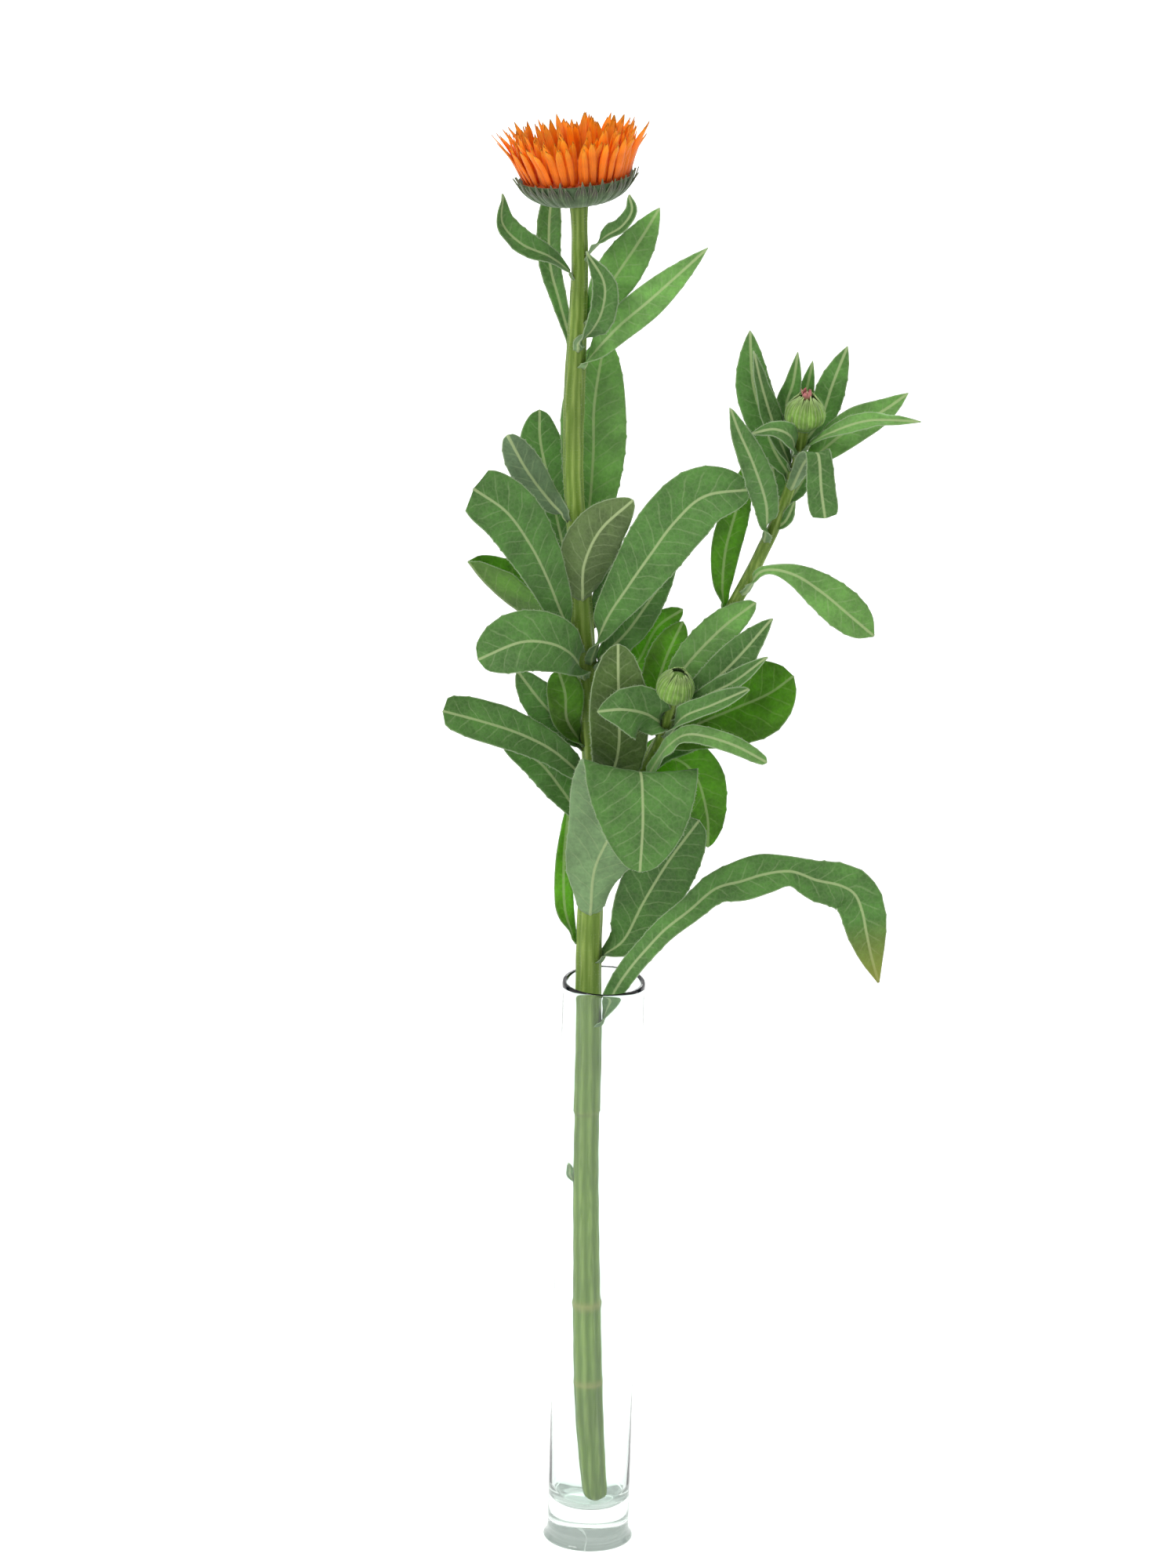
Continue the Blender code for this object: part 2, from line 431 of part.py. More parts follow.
def leaf_mesh(name, row):
    """A leaf whose foot clasps its stem."""
    centre, direction, radius = stem_ring(row["stem"], row["height"])
    angle = math.radians(row["turn"])
    outward = np.array([math.cos(angle), math.sin(angle), 0.0])
    outward = unit(outward - direction * float(outward @ direction))
    foot = centre + outward * (radius + CLASP_GAP)
    lift = foot + direction * 1.6 + outward * 0.25
    points = [foot, lift]
    points += [seen(x, foot[1] + (y - foot[1]) * DEPTH_REACH, z) for x, y, z in row["points"]]
    fractions = spread(row["stations"])
    shares = [row["base"]] * 2 + (row["widths"] or [0.0] * len(row["points"]))
    line = resample(smooth_path([(*point, share) for point, share in zip(points, shares)]), fractions)
    ribs = line[:, :3]
    faces = turned_faces(row, -outward, ribs, fractions)
    half = row["width"] / 2
    if row["widths"]:
        shares = line[:, 3]
    else:
        shares = [outline(t, row["base"], row["peak"], row["blunt"]) for t in fractions]
    halves = [max(half * share, MIN_HALF_WIDTH) for share in shares]
    clasp = 1.0 / (radius + CLASP_GAP)
    curls = [clasp * max(1 - t / CLASP_REACH, 0.0) + row["cup"] / half for t in fractions]
    waves = [row["wave"] * math.sin(math.pi * t) * math.sin(2 * math.pi * row["waves"] * t + row["phase"])
             for t in fractions]
    folds = [row["fold"] * min(max(t - 0.05, 0.0) / 0.25, 1.0) for t in fractions]
    if row["width"] > NARROW_LEAF:
        across = (-1.0, -0.55, 0.0, 0.55, 1.0)
        depths = (EDGE_HALF, 0.45, RIB_DEPTH, 0.45, EDGE_HALF)
    else:
        across = (-1.0, 0.0, 1.0)
        depths = (EDGE_HALF, 0.8 * RIB_DEPTH, EDGE_HALF)
    grid = blade_grid(ribs, faces, halves, across, curls, folds, waves)
    return blade_mesh(name, grid, [EDGE_HALF] * len(across), depths)


def plain_blade(name, points, width, face, stations=6, peak=0.55, blunt=0.7, base=0.4, cup=0.2, columns=2,
                end_face=None, inner=EDGE_HALF):
    """A small blade along a line, for bracts, florets and small leaves."""
    fractions = spread(stations)
    ribs = resample(smooth_path(points), fractions)
    start = unit(face)
    stop = start if end_face is None else unit(end_face)
    faces = np.array([start * (1 - t) + stop * t for t in fractions])
    half = width / 2
    halves = [max(half * outline(t, base, peak, blunt), MIN_HALF_WIDTH) for t in fractions]
    across = np.linspace(-1.0, 1.0, columns)
    flat = [0.0] * stations
    grid = blade_grid(ribs, faces, halves, across, [cup / half] * stations, flat, flat)
    return blade_mesh(name, grid, [inner] * columns, [EDGE_HALF] * columns)


def material(name, colour, roughness, metallic=0.0, transmission=0.0):
    made = bpy.data.materials.new(name)
    made.use_nodes = True
    shader = made.node_tree.nodes["Principled BSDF"]
    shader.inputs["Base Color"].default_value = (*colour, 1.0)
    shader.inputs["Roughness"].default_value = roughness
    shader.inputs["Metallic"].default_value = metallic
    shader.inputs["Transmission Weight"].default_value = transmission
    made.diffuse_color = (*colour, 1.0)
    return made


def add_object(name, mesh, collection):
    made = bpy.data.objects.new(name, mesh)
    collection.objects.link(made)
    return made


def apply_modifiers(item):
    """Replace an object's mesh by its finished shape."""
    bpy.context.view_layer.update()
    finished = bpy.data.meshes.new_from_object(item.evaluated_get(bpy.context.evaluated_depsgraph_get()))
    item.modifiers.clear()
    item.data = finished
    item.data.name = item.name


def lathe(name, profile, sides, collection):
    """A solid of revolution about Z from (radius, height) pairs."""
    mesh = bpy.data.meshes.new(name)
    points = [(r * MM, 0.0, z * MM) for r, z in profile]
    edges = [(i, i + 1) for i in range(len(points) - 1)]
    mesh.from_pydata(points, edges, [])
    item = add_object(name, mesh, collection)
    screw = item.modifiers.new("turn", "SCREW")
    screw.steps = sides
    screw.render_steps = sides
    screw.use_merge_vertices = True
    screw.merge_threshold = 1e-6
    screw.use_normal_calculate = True
    apply_modifiers(item)
    return item


def fuse(item, pieces, holder):
    """Join loose pieces to an item as one solid."""
    group = bpy.data.collections.new("fusing")
    holder.children.link(group)
    for number, mesh in enumerate(pieces):
        group.objects.link(bpy.data.objects.new(f"piece_{number}", mesh))
    union = item.modifiers.new("fuse", "BOOLEAN")
    union.operation = "UNION"
    union.operand_type = "COLLECTION"
    union.collection = group
    union.solver = "EXACT"
    apply_modifiers(item)
    for piece in list(group.objects):
        bpy.data.objects.remove(piece)
    bpy.data.collections.remove(group)
    return item


def close_ends(mesh):
    """Join a swept tube to its end caps and turn every face outward."""
    work = bmesh.new()
    work.from_mesh(mesh)
    bmesh.ops.remove_doubles(work, verts=work.verts[:], dist=1e-7)
    bmesh.ops.recalc_face_normals(work, faces=work.faces[:])
    work.to_mesh(mesh)
    work.free()


def ribbed_stem(name, key, ribs, collection, guides):
    """A ribbed stem swept along its path by a curve bevel."""
    sides = ribs * 2
    profile = bpy.data.curves.new(f"{name}_section", "CURVE")
    ring = profile.splines.new("POLY")
    ring.points.add(sides - 1)
    for k in range(sides):
        reach = MM if k % 2 == 0 else 0.9 * MM
        angle = 2 * math.pi * k / sides
        ring.points[k].co = (reach * math.cos(angle), reach * math.sin(angle), 0.0, 1.0)
    ring.use_cyclic_u = True
    section = bpy.data.objects.new(f"{name}_section", profile)
    guides.objects.link(section)
    curve = bpy.data.curves.new(name, "CURVE")
    curve.dimensions = "3D"
    curve.bevel_mode = "OBJECT"
    curve.bevel_object = section
    curve.use_fill_caps = True
    curve.twist_mode = "MINIMUM"
    line = curve.splines.new("POLY")
    rows = STEMS[key]
    line.points.add(len(rows) - 1)
    for point, (x, y, height, radius) in zip(line.points, rows):
        point.co = (*(seen(x, y, height) * MM), 1.0)
        point.radius = radius
    swept = bpy.data.objects.new(f"{name}_sweep", curve)
    guides.objects.link(swept)
    bpy.context.view_layer.update()
    mesh = bpy.data.meshes.new_from_object(swept.evaluated_get(bpy.context.evaluated_depsgraph_get()))
    mesh.name = name
    bpy.data.objects.remove(swept)
    bpy.data.objects.remove(section)
    close_ends(mesh)
    return add_object(name, mesh, collection)


def frame_at(base, axis):
    """A placement with its Z along the axis, at a point given in millimetres."""
    up = Vector(axis).normalized()
    side = Vector((1.0, 0.0, 0.0))
    side = (side - up * side.dot(up)).normalized()
    depth = up.cross(side)
    turn = Matrix((side, depth, up)).transposed().to_4x4()
    return Matrix.Translation(Vector(base) * MM) @ turn


def polar(radius, angle, height):
    return np.array([radius * math.cos(angle), radius * math.sin(angle), height])


def vase(collection):
    """The slender glass cylinder with its thick foot and softly rounded lip."""
    profile = [
        (0.0, 0.0), (14.7, 0.0), (FOOT_RADIUS, 0.4), (14.6, 1.0), (14.0, 1.9), (VASE_OUTER, 3.4),
        (VASE_OUTER, VASE_HEIGHT - 4.0), (VASE_OUTER + 0.2, VASE_HEIGHT - 1.6),
        (VASE_OUTER, VASE_HEIGHT - 0.4), (13.2, VASE_HEIGHT), (12.6, VASE_HEIGHT - 0.4),
        (VASE_INNER, VASE_HEIGHT - 1.8), (VASE_INNER, 20.0), (11.6, 16.8),
        (9.8, 14.2), (6.0, 12.8), (0.0, FLOOR_HEIGHT),
    ]
    return lathe("vase", profile, VASE_SIDES, collection)


def involucre(collection, holder):
    """The green bowl under the bloom with its narrow pointed bracts."""
    draw = random.Random(BLOOM_SEED)
    profile = [(0.0, 0.3), (3.8, 0.3), (9.4, 0.9), (14.2, 3.0), (17.7, 6.2), (19.6, 9.2), (18.9, 9.4),
               (16.8, 6.4), (8.0, 5.6), (0.0, 5.4)]
    item = lathe("bloom_bracts", profile, 24, collection)
    pieces = []
    for k in range(BRACT_COUNT):
        angle = 2 * math.pi * (k + draw.uniform(-0.12, 0.12)) / BRACT_COUNT
        tip = 10.0 + draw.uniform(-0.9, 1.1)
        grow = 0.3 * (k % 2)
        points = [polar(6.0, angle, 0.6), polar(10.2 + grow, angle, 1.2), polar(14.8 + grow, angle, 3.4),
                  polar(18.3 + grow, angle, 6.8), polar(20.0 + grow, angle, tip)]
        pieces.append(plain_blade(
            "bract", points, 3.6, (0.0, 0.0, 1.0), stations=4, peak=0.6, blunt=0.9, base=0.4, cup=0.0,
            end_face=-polar(1.0, angle, 0.0), inner=0.6))
    return fuse(item, pieces, holder)


def ray_florets(collection, holder):
    """Three rows of long narrow petals rising as a half-open cup."""
    draw = random.Random(BLOOM_SEED + 1)
    profile = [(0.0, 5.8), (8.0, 6.0), (16.0, 6.8), (17.7, 8.6), (16.4, 10.0), (10.0, 10.4), (9.0, 9.4),
               (0.0, 9.2)]
    item = lathe("bloom_petals", profile, 24, collection)
    pieces = []
    for count, root, lean, length, wide in PETAL_ROWS:
        for k in range(count):
            angle = 2 * math.pi * (k + draw.uniform(-0.28, 0.28)) / count
            tilt = math.radians(lean - 1.5 * math.cos(angle) + draw.uniform(-4.0, 4.0))
            reach = length * draw.uniform(0.86, 1.1)
            out = math.sin(tilt)
            rise = math.cos(tilt)
            drift = draw.uniform(-0.06, 0.06)
            foot = root + 0.6
            points = [polar(root - 1.6, angle, 7.8), polar(foot, angle, 10.0),
                      polar(foot + 0.5 * reach * out, angle + 0.5 * drift, 10.0 + 0.52 * reach * rise),
                      polar(foot + 1.02 * reach * out, angle + drift, 10.0 + reach * rise)]
            pieces.append(plain_blade(
                "petal", points, wide * draw.uniform(0.85, 1.15), -polar(1.0, angle, -0.3), stations=4,
                peak=0.6, blunt=0.6, base=0.5, cup=0.0))
    return fuse(item, pieces, holder)


def disc_florets(collection, holder):
    """The middle of the bloom: a low dome of small tubes."""
    profile = [(0.0, 9.6), (8.2, 9.8), (8.6, 10.6), (6.6, 11.8), (3.4, 12.6), (0.0, 12.9)]
    item = lathe("bloom_centre", profile, 16, collection)
    pieces = []
    golden = math.pi * (3 - math.sqrt(5))
    for k in range(DISC_COUNT):
        radius = 7.4 * math.sqrt((k + 0.5) / DISC_COUNT)
        angle = k * golden
        foot = polar(radius, angle, 10.6)
        top = polar(radius * 1.08, angle, 14.6 - 0.026 * radius ** 2)
        mesh = bpy.data.meshes.new("floret")
        ring = []
        for at, size in ((foot, 0.6), (top, 0.75)):
            for side in range(5):
                turn = 2 * math.pi * side / 5 + k
                ring.append((at + np.array([size * math.cos(turn), size * math.sin(turn), 0.0])) * MM)
        faces = [(4, 3, 2, 1, 0), (5, 6, 7, 8, 9)]
        faces += [(s, (s + 1) % 5, 5 + (s + 1) % 5, 5 + s) for s in range(5)]
        mesh.from_pydata([tuple(p) for p in ring], [], faces)
        pieces.append(mesh)
    return fuse(item, pieces, holder)


def bud(name, size, height, count, open_share, seed, collection, holder):
    """A closed bud: an egg of narrow bracts that meet over its tip."""
    draw = random.Random(seed)
    top = height * open_share
    profile = [(0.0, 0.0), (size * 0.42, 0.1 * height), (size * 0.82, 0.26 * height),
               (size * 0.94, 0.48 * height), (size * 0.78, 0.72 * height), (size * 0.42, top), (0.0, top)]
    item = lathe(name, profile, 16, collection)
    width = 1.1 * 2 * math.pi * size / count
    pieces = []
    for k in range(count):
        angle = 2 * math.pi * (k + draw.uniform(-0.15, 0.15)) / count
        points = [polar(size * 0.3, angle, 0.14 * height), polar(size * 0.88, angle, 0.27 * height),
                  polar(size * 1.0, angle, 0.5 * height), polar(size * 0.82, angle, 0.76 * height),
                  polar(size * 0.5, angle + 0.1, height * draw.uniform(0.94, 1.03))]
        pieces.append(plain_blade(
            "bract", points, width, -polar(0.4, angle, -1.0), stations=5, peak=0.45, blunt=0.9, base=0.5,
            cup=0.0, end_face=-polar(0.7, angle, 0.7), inner=1.5))
    return fuse(item, pieces, holder)


def bud_petals(name, radius, low, high, count, collection, holder):
    """The tuft of closed petals that shows at a bud's tip."""
    middle = 0.5 * (low + high)
    profile = [(0.0, low), (radius * 0.7, low), (radius * 0.8, middle), (0.0, high)]
    item = lathe(name, profile, 10, collection)
    pieces = []
    for k in range(count):
        angle = 2 * math.pi * k / count
        points = [polar(radius * 0.3, angle, low + 0.3), polar(radius * 0.8, angle, middle),
                  polar(radius * 0.9, angle, high + 0.5 * (k % 2))]
        pieces.append(plain_blade("petal", points, 1.5, -polar(1.0, angle, -0.4), stations=4, cup=0.2))
    return fuse(item, pieces, holder)


def place(item, placement):
    item.data.transform(placement)
    item.data.update()


def build():
    for item in list(bpy.data.objects):
        bpy.data.objects.remove(item)
    collection = bpy.data.collections.new(OBJECT_NAME)
    guides = bpy.data.collections.new("guides")
    bpy.context.scene.collection.children.link(collection)
    bpy.context.scene.collection.children.link(guides)
    guides.hide_render = True

    vase(collection).data.materials.append(material("vase_glass", GLASS, 0.05, 0.0, 1.0))

    for name, key, ribs in (("stem_main", "main", 8), ("stem_right_shoot", "right", 7),
                            ("stem_front_shoot", "front", 6)):
        stem = ribbed_stem(name, key, ribs, collection, guides)
        if key == "right":
            small = [plain_blade("small_leaf", [seen(*p) for p in points], width, face, columns=3)
                     for points, width, face in SHOOT_SMALL_LEAVES]
            fuse(stem, small, guides)
        stem.data.materials.append(material(f"{name}_green", STEM_GREEN, 0.6))

    for number, (name, row) in enumerate(LEAVES.items()):
        row["phase"] = 1.7 * number
        leaf = add_object(name, leaf_mesh(name, row), collection)
        shade = 0.85 + 0.3 * ((number * 5) % 7) / 6
        colour = tuple(channel * shade for channel in LEAF_GREEN)
        leaf.data.materials.append(material(f"{name}_green", colour, 0.62))

    bloom = frame_at(seen(*BLOOM_BASE), BLOOM_AXIS)
    for maker, colour, roughness in ((involucre, BRACT_GREEN, 0.7), (ray_florets, PETAL_ORANGE, 0.5),
                                     (disc_florets, DISC_ORANGE, 0.6)):
        item = maker(collection, guides)
        place(item, bloom)
        item.data.materials.append(material(f"{item.name}_colour", colour, roughness))

    base, axis, *shape = RIGHT_BUD
    placement = frame_at(seen(*base), axis)
    item = bud("bud_right", *shape, collection, guides)
    place(item, placement)
    item.data.materials.append(material("bud_right_green", BUD_PALE, 0.6))
    item = bud_petals("bud_right_petals", *BUD_TIP, collection, guides)
    place(item, placement)
    item.data.materials.append(material("bud_right_pink", BUD_PINK, 0.6))

    base, axis, *shape = FRONT_BUD
    item = bud("bud_front", *shape, collection, guides)
    place(item, frame_at(seen(*base), axis))
    item.data.materials.append(material("bud_front_green", BUD_GREEN, 0.6))

    bpy.data.collections.remove(guides)


build()
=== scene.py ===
"""Looks of the calendula stem in its glass vase: fine leaves, petals, hairs, glass and studio light.

Lengths are in millimetres until a mesh is made. +Z is up and the photograph looks along +Y.
"""
import math
import random

import bpy
import numpy as np
from mathutils import Matrix, Vector


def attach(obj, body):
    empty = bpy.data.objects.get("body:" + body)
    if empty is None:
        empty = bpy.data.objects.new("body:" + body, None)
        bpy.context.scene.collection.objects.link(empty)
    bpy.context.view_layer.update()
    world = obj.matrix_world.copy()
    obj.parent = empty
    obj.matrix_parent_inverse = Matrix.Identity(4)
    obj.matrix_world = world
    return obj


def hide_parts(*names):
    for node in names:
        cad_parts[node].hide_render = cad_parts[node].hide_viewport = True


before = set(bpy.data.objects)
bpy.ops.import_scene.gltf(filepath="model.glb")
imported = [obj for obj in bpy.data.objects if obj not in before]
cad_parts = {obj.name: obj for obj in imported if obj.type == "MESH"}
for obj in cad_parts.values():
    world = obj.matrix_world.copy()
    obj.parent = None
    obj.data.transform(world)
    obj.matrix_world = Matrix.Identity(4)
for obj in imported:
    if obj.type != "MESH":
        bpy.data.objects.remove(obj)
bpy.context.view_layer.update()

MM = 0.001

# Camera, as the photograph was taken
CAMERA_PLACE = Vector((0.0, -4.2, 1.85))
CAMERA_AIM = Vector((-0.00718, 0.0, 0.27131))
CAMERA_ROLL = math.radians(-1.65)
CAMERA_SENSOR = 36.0
CAMERA_LENS = 310.7

# Vase
VASE_HEIGHT = 201.7
VASE_OUTER = 13.7
VASE_INNER = 12.2
FOOT_RADIUS = 15.0
FLOOR_HEIGHT = 12.3
VASE_SIDES = 160

# Leaf blades
BLADE_HALF = 0.13
CELL = 1.05
DEPTH_REACH = 1.45
CLASP_GAP = 1.0
CLASP_REACH = 0.16
VEIN_SPACING = 5.4
VEIN_SLOPE = 1.15
LEAF_SEED = 11

# Hairs
LEAF_HAIR = 0.62
STEM_HAIR = 0.7
HAIR_RADIUS = 0.028

# Bloom
BLOOM_BASE = (-15.8, 17.0, 473.2)
BLOOM_AXIS = (-0.11, 0.12, 1.0)
BLOOM_SEED = 5
# Rows of petals from the outside in, as (count, root radius, lean in degrees, length, width)
PETAL_ROWS = ((40, 17.4, 23.0, 15.6, 2.9), (38, 16.4, 17.5, 15.9, 3.0), (32, 15.0, 12.0, 15.9, 3.0),
              (24, 13.2, 6.0, 14.8, 2.8))


def seen(x, y, height):
    """A point from its side, its depth, and its height as read along a sight line from the front."""
    slope = 0.439 - 0.000236 * height
    return np.array([x, y, height - slope * y])


def unit(vectors):
    vectors = np.asarray(vectors, dtype=float)
    return vectors / np.maximum(np.linalg.norm(vectors, axis=-1, keepdims=True), 1e-12)


def smooth_path(points, per_span=16):
    """A dense smooth curve through the given points."""
    points = np.asarray(points, dtype=float)
    padded = np.vstack([2 * points[0] - points[1], points, 2 * points[-1] - points[-2]])
    dense = []
    for a, b, c, d in zip(padded[:-3], padded[1:-2], padded[2:-1], padded[3:]):
        for step in range(per_span):
            t = step / per_span
            dense.append(0.5 * (2 * b + (c - a) * t + (2 * a - 5 * b + 4 * c - d) * t ** 2
                                + (3 * b - a - 3 * c + d) * t ** 3))
    dense.append(points[-1])
    return np.array(dense)


def path_lengths(path):
    return np.concatenate([[0.0], np.cumsum(np.linalg.norm(np.diff(path[:, :3], axis=0), axis=1))])


def resample(path, fractions):
    """Points of a path at the given fractions of its length."""
    lengths = path_lengths(path)
    wanted = np.asarray(fractions) * lengths[-1]
    return np.stack([np.interp(wanted, lengths, path[:, k]) for k in range(path.shape[1])], axis=-1)


# Stems, as (side, depth, height, radius) from the lower end up
STEM_MAIN = [
    (2.5, -3.0, 11.6, 1.0), (2.3, -2.9, 13.6, 3.2), (2.1, -2.9, 16.6, 4.1), (1.4, -2.7, 22.0, 4.3),
    (-0.6, -2.0, 45.0, 4.7), (-2.1, -1.0, 74.0, 4.7), (-3.2, 0.4, 103.0, 4.4), (-4.2, 2.4, 131.0, 4.3),
    (-4.5, 3.7, 153.0, 4.2), (-4.6, 3.9, 156.0, 4.5), (-4.7, 4.6, 179.0, 4.5), (-5.2, 5.2, 199.0, 4.35),
    (-5.4, 5.8, 220.0, 4.3), (-4.9, 6.6, 244.0, 4.3), (-4.6, 7.2, 266.0, 4.2), (-5.7, 7.6, 283.0, 4.0),
    (-7.6, 8.0, 300.0, 3.9), (-9.8, 8.4, 319.0, 3.8), (-11.3, 8.8, 338.0, 3.6),
    (-13.2, 9.4, 360.0, 3.3), (-14.7, 10.2, 376.0, 3.3), (-15.3, 11.2, 393.0, 3.4),
    (-15.3, 12.4, 410.0, 3.5), (-15.0, 13.8, 428.0, 3.2), (-14.7, 15.4, 450.0, 2.8),
    (-15.3, 16.6, 467.0, 2.7), (-15.7, 16.9, 473.4, 3.2),
]
BRANCH_RIGHT = [
    (-3.6, 6.4, 262.0, 1.8), (0.9, 4.2, 270.5, 2.1), (5.8, 2.8, 273.5, 2.3), (14.0, 0.6, 283.0, 2.4),
    (23.2, 0.0, 300.0, 2.3), (32.0, -0.4, 320.0, 2.2), (39.7, -0.8, 337.0, 2.2), (44.2, -1.4, 346.0, 2.3),
    (48.0, -2.0, 355.0, 2.2), (51.4, -2.4, 363.0, 2.1), (55.0, -2.8, 373.0, 1.9), (58.3, -3.0, 385.0, 1.8),
    (60.1, -3.0, 398.2, 1.9),
]
BRANCH_FRONT = [
    (-4.2, 4.6, 252.0, 1.4), (0.5, 0.8, 258.0, 1.6), (5.0, -1.4, 265.0, 1.7), (10.5, -4.4, 275.0, 1.7),
    (15.5, -8.5, 286.0, 1.7), (18.6, -12.6, 295.0, 1.7), (19.9, -15.9, 301.8, 2.0),
]
STEMS = {"main": STEM_MAIN, "right": BRANCH_RIGHT, "front": BRANCH_FRONT}
STEM_STEPS = 16


def stem_path(key):
    """The dense centre line of a stem with its radius as a fourth value."""
    return smooth_path([(*seen(x, y, height), radius) for x, y, height, radius in STEMS[key]], STEM_STEPS)


def stem_ring(key, height):
    """Centre, direction and radius of a stem where it is at the given sight height."""
    rows = STEMS[key]
    dense = stem_path(key)
    index = np.interp(height, [row[2] for row in rows], np.arange(len(rows))) * STEM_STEPS
    low = int(min(index, len(dense) - 2))
    here = dense[low] + (dense[low + 1] - dense[low]) * (index - low)
    return here[:3], unit(dense[low + 1][:3] - dense[low][:3]), here[3]


# Directions a blade's upper face can look to
VIEW = (0.0, -0.93, 0.37)
VIEW_UP = (0.0, -0.7, 0.7)
VIEW_RIGHT = (0.45, -0.8, 0.35)
VIEW_LEFT = (-0.45, -0.8, 0.35)
UP_VIEW = (0.0, -0.45, 0.9)
AWAY = (0.0, 0.93, -0.2)
AWAY_RIGHT = (0.6, 0.75, 0.1)


def leaf_row(kind, tone, stem, height, turn, points, width, faces, **extra):
    """One leaf: its tissue copy and brightness factor, which paint the light and shade it gets, where it leaves its
    stem, the line of its rib, its width and turn.
    """
    row = {"kind": kind, "tone": tone, "stem": stem, "height": height, "turn": turn, "points": points,
           "width": width, "faces": faces, "base": 0.32, "peak": 0.62, "blunt": 0.6, "cup": 0.25,
           "fold": 0.0, "wave": 0.5, "waves": 2.5, "foot_share": 0.25, "turn_at": (0.3, 1.0),
           "across": None, "widths": None, "dry_tip": 0.0}
    row.update(extra)
    return row
